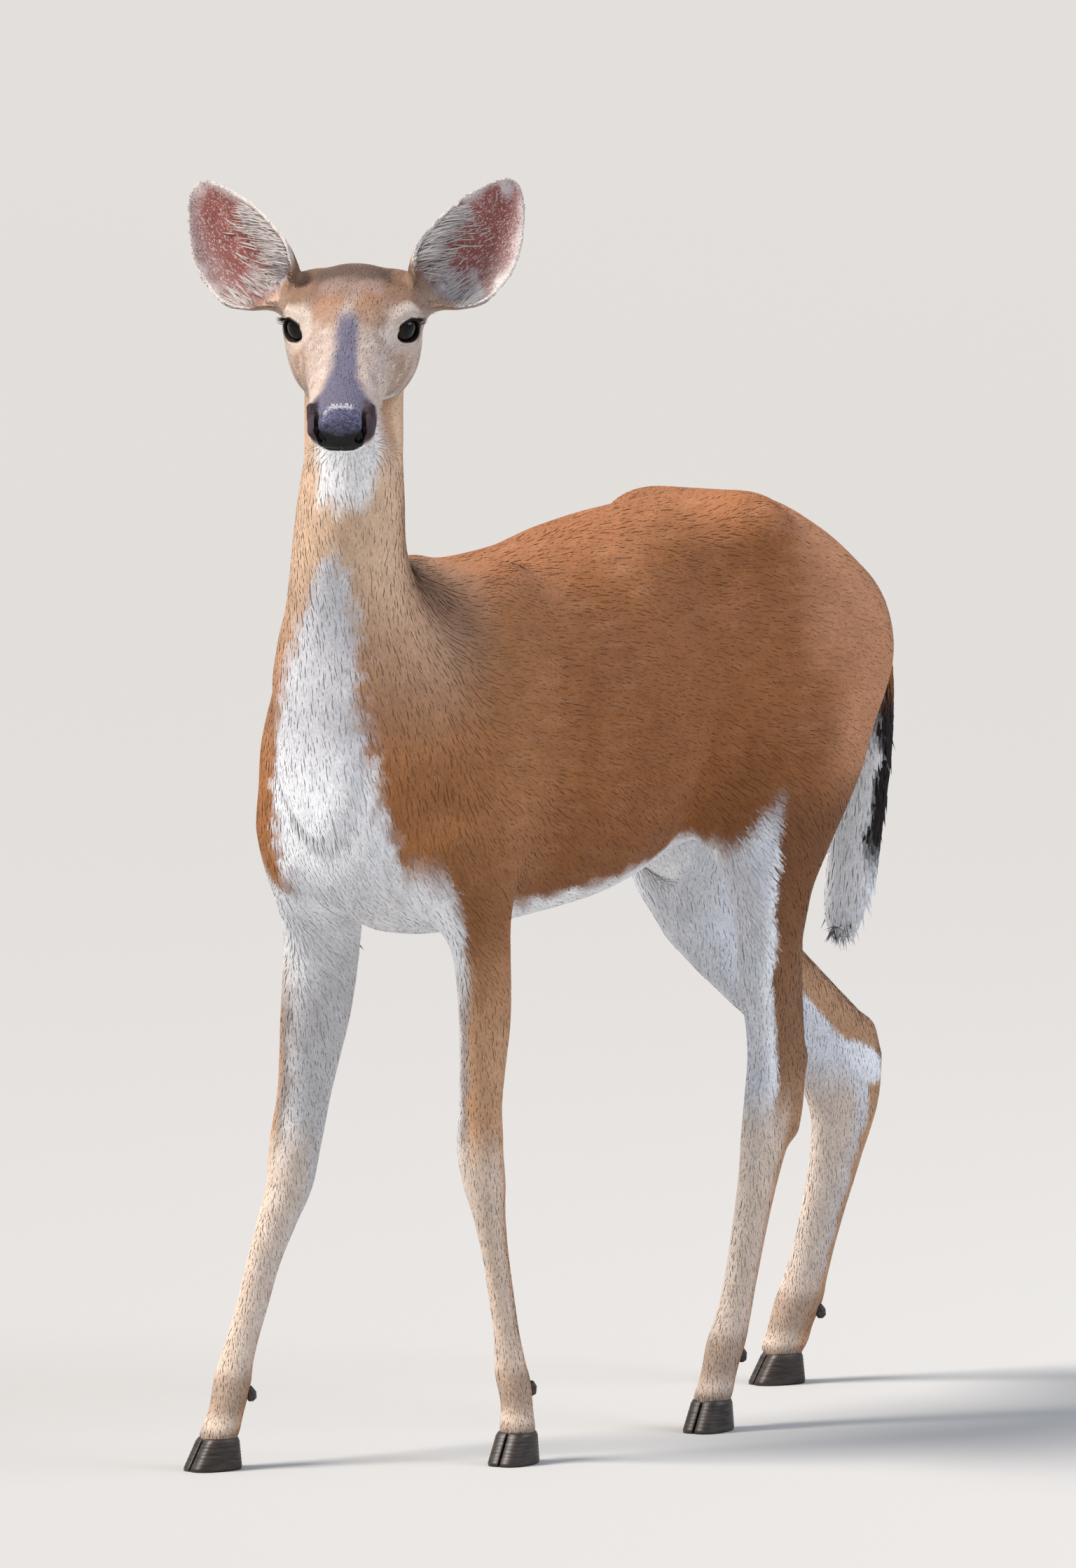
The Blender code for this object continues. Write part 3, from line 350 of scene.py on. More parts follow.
# Root to tip of an ear: how far along, half width, and half the angle of the arc that its section is.
EAR = (
    (0.00, 0.0150, 150), (0.10, 0.0220, 130), (0.16, 0.0310, 110), (0.28, 0.0420, 85), (0.37, 0.0448, 70),
    (0.50, 0.0445, 58), (0.64, 0.0407, 50), (0.76, 0.0330, 44), (0.86, 0.0245, 40), (0.94, 0.0155, 37),
    (0.985, 0.0080, 35), (1.00, 0.0025, 35),
)
EAR_BASE = (-0.060, 0.068, -0.017)     # in the head's frame, where the left ear leaves the head
EAR_LONG, EAR_THICK, EAR_BOW = 0.155, 0.0035, 0.009
EAR_BURIED = 0.16                      # the share of its length inside the head
EAR_STEM = 0.015
EAR_POINTS = {1: (-0.030, 0.084, 0.099), -1: (-0.030, -0.092, 0.098)}    # ahead, left and up of the face
EAR_FACES = (1.0, 0.15, 0.0)


def curve(table, columns=240):
    """A smooth function of a table's first column, through every row, and held level past its ends."""
    rows = np.array(table, float)
    at, values = rows[:, 0], rows[:, 1:]
    step = np.diff(at)[:, None]
    rise = np.diff(values, axis=0) / step
    slope = np.zeros_like(values)
    slope[0], slope[-1] = rise[0], rise[-1]
    before, after = 2 * step[1:] + step[:-1], step[1:] + 2 * step[:-1]
    with np.errstate(divide="ignore", invalid="ignore"):
        mean = (before + after) / (before / rise[:-1] + after / rise[1:])
    slope[1:-1] = np.where(rise[:-1] * rise[1:] > 0, mean, 0)
    fine = np.linspace(at[0], at[-1], columns)
    i = np.clip(np.searchsorted(at, fine) - 1, 0, len(at) - 2)
    t = ((fine - at[i]) / step[i, 0])[:, None]
    out = (1 + 2 * t) * (1 - t) ** 2 * values[i] + t * (1 - t) ** 2 * step[i] * slope[i]
    out += t * t * (3 - 2 * t) * values[i + 1] + t * t * (t - 1) * step[i] * slope[i + 1]
    return lambda x: [np.interp(x, fine, column) for column in out.T]


def blend(a, b, width):
    """Union of two fields with a fillet of about this width."""
    near = np.maximum(width - np.abs(a - b), 0) / width
    return np.minimum(a, b) - near * near * width / 4


def common(a, b, width):
    """Intersection of two fields with a rounded edge."""
    return -blend(-a, -b, width)


def section(up, side, above, below, half, power_above=2.0, power_below=2.0):
    """Distance along the ray from a section's middle to its rounded outline."""
    reach = np.where(up >= 0, above, below)
    power = np.where(up >= 0, power_above, power_below)
    ratio = ((np.abs(up) / reach) ** power + (np.abs(side) / half) ** power) ** (1 / power) + 1e-6
    return np.hypot(up, side) * (1 - 1 / ratio)


def axes(yaw, pitch=0.0):
    """Columns are a frame's axes: yaw turns it to the left, and pitch lifts its x axis, in degrees."""
    yaw, pitch = np.radians([yaw, pitch])
    turn = np.array([[np.cos(yaw), -np.sin(yaw), 0], [np.sin(yaw), np.cos(yaw), 0], [0, 0, 1]])
    lift = np.array([[np.cos(pitch), 0, -np.sin(pitch)], [0, 1, 0], [np.sin(pitch), 0, np.cos(pitch)]])
    return turn @ lift


def ellipsoid(p, centre, radii, pitch=0.0):
    """Distance along the ray from an ellipsoid's middle to its surface."""
    q = (p - centre) @ axes(0, pitch)
    ratio = np.linalg.norm(q / np.array(radii), axis=1) + 1e-6
    return np.linalg.norm(q, axis=1) * (1 - 1 / ratio)


def rod(p, start, end, start_radius, end_radius):
    """Distance to a round rod that widens or narrows evenly from end to end."""
    along = end - start
    t = np.clip((p - start) @ along / (along @ along), 0, 1)
    radius = start_radius + (end_radius - start_radius) * t
    return np.linalg.norm(p - start - t[:, None] * along, axis=1) - radius


TRUNK_AT, NECK_AT, SKULL_AT, TAIL_AT, EAR_AT = (curve(table) for table in (TRUNK, NECK, SKULL, TAIL, EAR))
LINE_AT = {name: curve(leg["line"]) for name, leg in LEGS.items()}
GIRTH_AT = {name: curve(leg["girth"]) for name, leg in LEGS.items()}


def trunk_field(p):
    """The trunk, a loft of upright sections ended at the rump and the breast."""
    top, bottom, half, middle, above, below = TRUNK_AT(p[:, 0])
    f = section(p[:, 2] - middle, p[:, 1], top - middle, middle - bottom, half, above, below)
    return common(common(f, p[:, 0] - BREAST_END, 0.02), RUMP_END - p[:, 0], 0.01)


def neck_field(p):
    """The neck, a loft of level sections that turn with the way it faces."""
    x, y, depth, half, faces = NECK_AT(p[:, 2])
    ahead, left = turned(p[:, 0] - x, p[:, 1] - y, np.radians(faces))
    f = section(ahead, left, depth, depth, half)
    return common(common(f, p[:, 2] - NECK[-1][0], 0.02), NECK[0][0] - p[:, 2], 0.02)


def turned(x, y, angle):
    """How far ahead and how far to the left a point lies, for something that faces this way."""
    return x * np.cos(angle) + y * np.sin(angle), y * np.cos(angle) - x * np.sin(angle)


def in_head(p):
    """Places in the head's frame, for the animal's."""
    return (p - HEAD_AT) @ axes(HEAD_YAW, HEAD_PITCH)


def in_world(q):
    """Places in the animal's frame, for the head's."""
    return HEAD_AT + q @ axes(HEAD_YAW, HEAD_PITCH).T


def head_field(p):
    """The skull with its brows, jaw and stalks for the ears, and the hollows that the eyes lie in."""
    q = in_head(p)
    top, bottom, half, middle, above, below = SKULL_AT(q[:, 0])
    f = section(q[:, 2] - middle, q[:, 1], top - middle, middle - bottom, half, above, below)
    f = common(common(f, q[:, 0] - SKULL[-1][0], 0.006), SKULL[0][0] - q[:, 0], 0.012)
    for _, side in SIDES:
        mirror = np.array((1, side, 1))
        for middle, radii, fillet in HEAD_MASSES:
            f = blend(f, ellipsoid(q, middle * mirror, radii), fillet)
        for (start, wide), (end, narrow) in zip(EAR_STALK, EAR_STALK[1:]):
            f = blend(f, side_rod(q, side, start, end, wide, narrow), 0.012)
        looks = unit(EYE_LOOKS * mirror)
        f = common(f, -opening(q, EYE_AT * mirror + looks * EYE_RADIUS, looks), 0.004)
    return f


def side_rod(q, side, start, end, start_radius, end_radius):
    """A rod on one side of the head, whose ends are given for the left side."""
    mirror = np.array((1, side, 1))
    return rod(q, start * mirror, end * mirror, start_radius, end_radius)


def opening(q, centre, looks):
    """The almond between the lids, an ellipsoid set across the way the eye looks."""
    up = unit(np.array((LIDS_TILT, 0, 1)) - looks * looks[2])
    ahead = np.cross(up, looks)
    d = q - centre
    ratio = np.linalg.norm((d @ ahead / LIDS_HALF_LONG, d @ up / LIDS_HALF_HIGH, d @ looks / LIDS_DEEP),
                           axis=0)
    return np.linalg.norm(d, axis=1) * (1 - 1 / (ratio + 1e-6))


def leg_field(p, name):
    """A leg, a loft of sections along its line, square to the line's slope."""
    leg = LEGS[name]
    z = p[:, 2]
    x, y = LINE_AT[name](z)
    depth, half = GIRTH_AT[name](z)
    faces = np.radians(leg["turn"])
    above, below = LINE_AT[name](z + 0.01), LINE_AT[name](z - 0.01)
    slope, _ = turned((above[0] - below[0]) / 0.02, (above[1] - below[1]) / 0.02, faces)
    ahead, left = turned(p[:, 0] - x, p[:, 1] - y, faces)
    depth = depth * leg["stout"]
    f = section(ahead / np.sqrt(1 + slope ** 2), left, depth, depth, half, 2.1, 2.1)
    return common(f, z - leg["top"], 0.02)


def hock_field(p, name):
    """The heel bone, standing out behind the hock, and the tendon that runs up from it."""
    places = []
    for height, near, behind, _ in (SHANK, HEEL, CALF):
        x, y = (float(v) for v in LINE_AT[name](near))
        places.append(np.array((x, y, height)) - axes(LEGS[name]["turn"])[:, 0] * behind
                      * LEGS[name]["stout"])
    bone = rod(p, places[0], places[1], SHANK[3], HEEL[3])
    return blend(bone, rod(p, places[1], places[2], HEEL[3], CALF[3]), 0.01)


def tail_field(p):
    """The tail, a loft of level sections."""
    x, y, depth, half = TAIL_AT(p[:, 2])
    f = section(p[:, 0] - x, p[:, 1] - y, depth, depth, half)
    return common(common(f, p[:, 2] - TAIL_TOP, 0.01), TAIL_TIP - p[:, 2], 0.005)


def body_field(p):
    """The whole animal but its tail, ears, eyes and hooves."""
    f = blend(trunk_field(p), neck_field(p), 0.035)
    f = blend(f, head_field(p), 0.020)
    for name in LEGS:
        f = blend(f, leg_field(p, name), 0.030)
        if name.startswith("hind"):
            f = blend(f, hock_field(p, name), 0.015)
    for where, centre, radii, pitch, fillet in MASSES:
        for side in {"left": (1,), "right": (-1,), "both": (1, -1), "middle": (1,)}[where]:
            f = blend(f, ellipsoid(p, np.array(centre) * (1, side, 1), radii, pitch), fillet)
    return f


def tailed_field(p):
    """The body with its tail, which only its root joins."""
    low, high = TAIL_ROOT
    root = 0.002 + 0.018 * np.clip((p[:, 2] - low) / (high - low), 0, 1)
    return blend(body_field(p), tail_field(p), root)


def ear_frame(side):
    """The base of an ear, and its ways to the tip, out of the hollow and to the outer edge."""
    face = axes(HEAD_YAW)
    to_tip = unit(face @ np.array(EAR_POINTS[side]))
    facing = face @ (np.array(EAR_FACES) * (1, side, 1))
    facing = unit(facing - to_tip * (facing @ to_tip))
    return in_world(np.array(EAR_BASE) * (1, side, 1)), to_tip, facing, side * np.cross(to_tip, facing)


def ear_arc(along):
    """The radius of the arc that an ear's section is, and half the arc's angle."""
    half, cup = EAR_AT(along)
    cup = np.radians(cup)
    return half / np.sin(np.minimum(cup, np.pi / 2)), cup


def ear_field(p, side):
    """An ear as a cupped leaf: the distance to an arc's wall, ended at the arc's two edges, the tip and the
    root. Also how far along and across the leaf each point is, as shares, and how far outside its hollow
    face."""
    base, to_tip, facing, outward = ear_frame(side)
    d = p - base
    along = d @ to_tip / EAR_LONG + EAR_BURIED
    radius, cup = ear_arc(along)
    out = d @ outward - EAR_BOW * np.sin(np.pi * np.clip(along, 0, 1))
    deep = radius - EAR_STEM - d @ facing
    angle = np.arctan2(out, deep)
    reach = np.hypot(out, deep)
    thick = EAR_THICK + EAR_STEM * np.clip(1 - along / EAR_BURIED, 0, 1)
    wall = np.abs(reach - radius + thick / 2) - thick / 2
    edge = (np.abs(angle) - cup) * np.maximum(reach, 0.6 * radius)
    ends = np.abs(along - 0.5) * EAR_LONG - EAR_LONG / 2
    return common(common(wall, edge, 0.0015), ends, 0.002), along, angle / cup, reach - radius + thick


# Skin. One unbroken skin of thin hide from the nose to the hooves, the tail and both ears. It lies under the
# form's surface by the depth of the coat there. The head's half is meshed finer than the body's, finest round
# the eyes, nostrils and mouth, and a band of faces round the neck bridges the two.

SKIN_STEP, FACE_STEP = 0.0062, 0.0026
NECK_JOIN, JOIN_BAND = 0.950, 0.004          # the height where the two meshes are bridged
LID_THICK, LID_AIR = 0.0022, 0.0005
OPEN_LONG, OPEN_HIGH, OPEN_TILT = 0.0134, 0.0102, -0.62     # half the size of the lids' opening, and its tilt
MOUTH = ((0.080, -0.0560), (0.095, -0.0585), (0.120, -0.0570), (0.140, -0.0540), (0.152, -0.0510))
NOSTRIL = (((0.1520, 0.0170, -0.0410), (0.1490, 0.0212, -0.0335), 0.0044),
           ((0.1490, 0.0212, -0.0335), (0.1395, 0.0222, -0.0195), 0.0024))
NOTCH = (0.64, -0.98)                        # along and across the left ear, where its rim is nicked
MOUTH_AT = curve(MOUTH)


def eye_frame(side):
    """The middle of an eye and its ways ahead, up and out, in the head's frame."""
    looks = unit(EYE_LOOKS * (1, side, 1))
    up = np.array((OPEN_TILT, 0, 1.0))
    up = unit(up - looks * (up @ looks))
    ahead = unit(np.cross(up, looks))
    return EYE_AT * (1, side, 1), ahead * np.sign(ahead[0]), up, looks


def almond(q, side):
    """1 on the rim between the lids, less inside it: a rounded lens drawn out to the corner at the nose."""
    centre, ahead, up, looks = eye_frame(side)
    d = q - centre
    along, high, out = d @ ahead, d @ up, d @ looks
    droop = np.where(along > 0, 0.15, 0.0) * along
    ratio = (np.abs(along / OPEN_LONG) ** 1.9 + np.abs((high + droop) / OPEN_HIGH) ** 2) ** 0.5
    return np.where(out > 0, ratio, 9.0), np.linalg.norm(d, axis=1), high, along


def face_form(p):
    """The head and upper neck with lids, nostrils, mouth and ears."""
    q = in_head(p)
    f = head_field(p)
    mouth, = MOUTH_AT(q[:, 0])
    gape = ramp(q[:, 0], 0.074, 0.084) * ramp(-q[:, 2], 0.04, 0.05)
    f = f + 0.0016 * gape * np.exp(-((q[:, 2] - mouth) / 0.0011) ** 2)
    f = f - 0.0011 * gape * np.exp(-((q[:, 2] - mouth - 0.0045) / 0.0035) ** 2)
    for _, side in SIDES:
        centre, _, _, looks = eye_frame(side)
        ratio, reach, high, _ = almond(q, side)
        lid = np.abs(reach - EYE_RADIUS - LID_AIR - LID_THICK / 2) - LID_THICK / 2
        lid = common(lid, 0.35 * EYE_RADIUS - (q - centre) @ looks, 0.004)
        f = blend(f, lid, 0.005)
        f = f + 0.0010 * np.exp(-((ratio - 1.42) / 0.13) ** 2) * ramp(high, 0.0, 0.006)
        f = f + 0.0007 * np.exp(-((ratio - 1.6) / 0.16) ** 2) * ramp(-high, 0.002, 0.008)
        f = common(f, (1 - ratio) * OPEN_HIGH, 0.0012)
        f = common(f, EYE_RADIUS + LID_AIR - reach, 0.0003)
        tear = side_rod(q, side, (0.0150, 0.0405, -0.0345), (0.0330, 0.0365, -0.0450), 0.0016, 0.0009)
        f = f + 0.0016 * np.exp(-np.maximum(tear, 0) / 0.0012)
        wing = side_rod(q, side, (0.1460, 0.0272, -0.0375), (0.1320, 0.0272, -0.0205), 0.0036, 0.0046)
        f = blend(f, wing, 0.006)
        for hole in nostril_rods(q, side):
            f = common(f, -hole, 0.0016)
    f = blend(f, neck_field(p), 0.020)
    for _, side in SIDES:
        ear, along, across, _ = ear_field(p, side)
        if side > 0:
            nick = np.hypot((along - NOTCH[0]) * EAR_LONG, (across - NOTCH[1]) * 0.03) - 0.0035
            ear = common(ear, -nick, 0.001)
        f = blend(f, ear, 0.0075)
    return f


def nostril_rods(q, side):
    """The two parts of a nostril: its round hole, and the slit that curls up and back from it."""
    return [side_rod(q, side, start, end, radius, 0.7 * radius) for start, end, radius in NOSTRIL]


def ramp(x, low, high):
    """0 below low, 1 above high, and smooth between."""
    t = np.clip((x - low) / (high - low), 0, 1)
    return t * t * (3 - 2 * t)


def field_mesh(field, low, high, step, block=8):
    """The zero surface of a field, as points and quads. The field is worked out in full only in blocks of the
    grid that its surface may cross, which its value in the middle of each block tells."""
    low = np.array(low)
    count = np.ceil((np.array(high) - low) / (step * block)).astype(int)
    corners = np.indices(count).reshape(3, -1).T * block
    rough = field(low + (corners + (block - 1) / 2) * step)
    values = rough.reshape(count).astype(np.float32)
    for axis in range(3):
        values = np.repeat(values, block, axis)
    near = corners[np.abs(rough) < 1.3 * block * step]
    inside = np.indices((block,) * 3).reshape(3, -1).T
    for batch in np.array_split(near, max(1, len(near) // 800)):
        cells = (batch[:, None] + inside[None]).reshape(-1, 3)
        values[tuple(cells.T)] = field(low + cells * step)
    values = np.clip(values, -4 * step, 4 * step)
    for axis in range(3):
        np.moveaxis(values, axis, 0)[[0, -1]] = 4 * step
    grid = openvdb.FloatGrid(4 * step)
    grid.copyFromArray(values)
    points, quads = grid.convertToQuads(isovalue=0.0)
    return points * step + low, quads


def slope(field, p, reach=0.0003):
    """The field's gradient, from its values a little to each side."""
    return np.stack([(field(p + way) - field(p - way)) / (2 * reach) for way in np.eye(3) * reach], 1)


def onto(field, p, rounds=2):
    """Points brought onto the zero surface by Newton's steps along the gradient, none longer than 1.5 mm."""
    for _ in range(rounds):
        g = slope(field, p)
        size = np.linalg.norm(g, axis=1)
        p = p - g / size[:, None] * np.clip(field(p) / size, -0.0015, 0.0015)[:, None]
    return p


def half_mesh(field, low, high, step, level, keep_above):
    """A bmesh of one half of the skin, cut off level at a height."""
    points, quads = field_mesh(field, low, high, step)
    mesh = bpy.data.meshes.new("half")
    mesh.from_pydata(points.tolist(), [], quads.tolist())
    shape = bmesh.new()
    shape.from_mesh(mesh)
    bpy.data.meshes.remove(mesh)
    bmesh.ops.bisect_plane(shape, geom=shape.verts[:] + shape.edges[:] + shape.faces[:],
                           plane_co=(0, 0, level),
                           plane_no=(0, 0, 1), clear_outer=not keep_above, clear_inner=keep_above)
    return shape


def points_of(shape):
    """The places of a bmesh's points."""
    return np.array([v.co for v in shape.verts])


def refined(shape, chosen):
    """Cuts in two each edge whose ends are both chosen."""
    shape.verts.ensure_lookup_table()
    edges = [e for e in shape.edges if chosen[e.verts[0].index] and chosen[e.verts[1].index]]
    bmesh.ops.subdivide_edges(shape, edges=edges, cuts=1, use_grid_fill=True)
    shape.verts.index_update()


def fine_places(p, reach):
    """True close to the lids, the nostrils and the line of the mouth."""
    q = in_head(p)
    mouth, = MOUTH_AT(q[:, 0])
    close = (np.abs(q[:, 2] - mouth) < reach) & (q[:, 0] > 0.076) & (q[:, 0] < 0.158)
    for _, side in SIDES:
        ratio, away, _, _ = almond(q, side)
        close |= (ratio < 1.0 + 0.35 * reach / 0.003) & (away < 1.5 * EYE_RADIUS)
        for start, end, radius in NOSTRIL:
            close |= side_rod(q, side, start, end, radius, radius) < reach
    return close


def skin_mesh():
    """The whole skin at the form's surface: its points, and its faces as triangles."""
    body = half_mesh(cuffed_field, (-0.48, -0.18, -0.004), (0.56, 0.18, 0.99), SKIN_STEP, NECK_JOIN, False)
    face = half_mesh(face_form, (0.33, -0.09, 0.93), (0.69, 0.25, 1.25), FACE_STEP, NECK_JOIN + JOIN_BAND,
                     True)
    for reach in (0.0045, 0.0025):
        face.verts.index_update()
        refined(face, fine_places(points_of(face), reach))
    mesh = bpy.data.meshes.new("face_half")
    face.to_mesh(mesh)
    face.free()
    body.from_mesh(mesh)
    bpy.data.meshes.remove(mesh)
    bmesh.ops.bridge_loops(body, edges=[e for e in body.edges if len(e.link_faces) == 1])
    bmesh.ops.recalc_face_normals(body, faces=body.faces)
    bmesh.ops.triangulate(body, faces=body.faces)
    body.verts.index_update()
    points = points_of(body)
    triangles = np.array([[v.index for v in f.verts] for f in body.faces])
    body.free()
    return points, triangles


# Hollows in metres deep, or rises where less than 0, on both sides: round ones by their middle and size, and
# long ones by their two ends and width.
ROUND_HOLLOWS = (
    (0.0080, (-0.040, 0.100, 0.820), (0.034, 0.05, 0.026)),      # before the hip
    (0.0050, (-0.040, 0.110, 0.640), (0.035, 0.05, 0.060)),      # the flank, before the thigh
    (-0.0038, (-0.120, 0.080, 0.865), (0.026, 0.04, 0.018)),     # the point of the hip
)
LONG_HOLLOWS = (
    (0.0045, (0.330, 0.06, 0.800), (0.370, 0.09, 0.640), 0.020),     # between the neck and the shoulder
    (0.0050, (0.205, 0.11, 0.780), (0.225, 0.12, 0.600), 0.022),     # behind the shoulder
    (-0.0030, (0.235, 0.06, 0.850), (0.315, 0.11, 0.680), 0.016),    # the ridge of the shoulder blade
)


def relief(p):
    """How deep the hollows are at each point, with the ribs' faint waves."""
    x, y, z = p.T
    left = np.column_stack([x, np.abs(y), z])
    deep = np.zeros(len(p))
    for depth, place, size in ROUND_HOLLOWS:
        deep += depth * np.exp(-(((left - place) / size) ** 2).sum(1))
    for depth, start, end, wide in LONG_HOLLOWS:
        deep += depth * np.exp(-(rod(left, np.array(start), np.array(end), 0, 0) / wide) ** 2)
    ribs = np.sin((x + 0.35 * (z - 0.7)) * 2 * np.pi / 0.030) * hump(x, 0.07, 0.13) * hump(z, 0.66, 0.11)
    return 1.3 * deep - 0.0008 * ribs * ramp(np.abs(y), 0.05, 0.09)


def hump(x, middle, half):
    """1 in the middle and 0 beyond half, with a smooth fall between."""
    return 1 - ramp(np.abs(x - middle), 0.35 * half, half)


CUFF_DEPTH, CUFF_HALF = 0.0178, 0.0176      # half the size of the skin's end round the top of a hoof


def cuffed_field(p):
    """The body, ended just above the hooves and drawn in there to their tops."""
    f = tailed_field(p) + relief(p)
    low = p[:, 2] < 0.07
    if low.any():
        z = p[low, 2]
        cuff = np.full(len(z), 1.0)
        spare = 0.9 * np.maximum(z - HOOF_TOP, 0)
        for name in LEGS:
            x, y = (float(v) for v in LINE_AT[name](HOOF_TOP))
            ahead, left = turned(p[low, 0] - x, p[low, 1] - y, np.radians(LEGS[name]["turn"]))
            depth = CUFF_DEPTH + spare
            cuff = np.minimum(cuff, section(ahead - 0.0005, left, depth, depth, CUFF_HALF + spare, 2.3, 2.3))
        f[low] = common(common(f[low], cuff, 0.004), HOOF_TOP - 0.004 - z, 0.001)
    return f


def form(p):
    """The field at any point: the face's above the join, the body's below it."""
    f = np.empty(len(p))
    high = p[:, 2] > NECK_JOIN
    if high.any():
        f[high] = face_form(p[high])
    if not high.all():
        f[~high] = cuffed_field(p[~high])
    return f


# Markings. One set of colours for skin and coat alike: red-brown back and flanks, painted lighter along the
# spine as a painted highlight and darker low on the sides as painted shade, tan neck and legs, a grey-brown
# face, and white under the chin, down the neck, and on the chest, belly and inner legs.

RED_BROWN, SPINE_SHEEN, SHOULDER, HAUNCH, TAN = "#8e5a33", "#a46e4c", "#9b6840", "#b98462", "#bd9676"
NECK_TAN, NAPE, WHITE, GREY_WHITE = "#b9957a", "#725440", "#e8ebf0", "#ced2da"
# The tail's white is painted brighter than WHITE: painted light on a tail that the body shades from the sun.
TAIL_WHITE = "#f8fafc"
BLACK_BROWN, DARK, LID = "#231c1b", "#54392a", "#1b1513"
FOREHEAD, BROW, BRIDGE, CHEEK, MUZZLE = "#947c72", "#9c6e4c", "#676477", "#b6a49a", "#c2b0a5"
THROAT, EAR_BACK, EAR_INSIDE, EAR_EDGE = "#d3b59a", "#8b6b50", "#935a54", "#d2c8c8"


def wobble(p, size, seed):
    """Smooth noise between about -1 and 1: six waves of one length that run in random ways."""
    random = np.random.default_rng(seed)
    ways = random.normal(size=(6, 3))
    ways *= 2 * np.pi / size / np.linalg.norm(ways, axis=1)[:, None]
    return np.sin(p @ ways.T + random.uniform(0, 6.28, 6)).sum(1) / 3.5


def on_head(p):
    """1 on the head, 0 on the neck and everything below."""
    return ramp(in_head(p)[:, 0], -0.095, -0.055) * ramp(p[:, 2], 0.955, 0.985)


def on_tail(p):
    """1 on the tail, 0 on the rump."""
    x, y, z = p.T
    far = ramp(0.012 - tail_field(p), 0, 0.006) * ramp(0.77 - z, 0, 0.04) * ramp(z, 0.40, 0.45)
    return far * ramp(-x, 0.350, 0.362) * ramp(0.05 - np.abs(y), 0, 0.01)


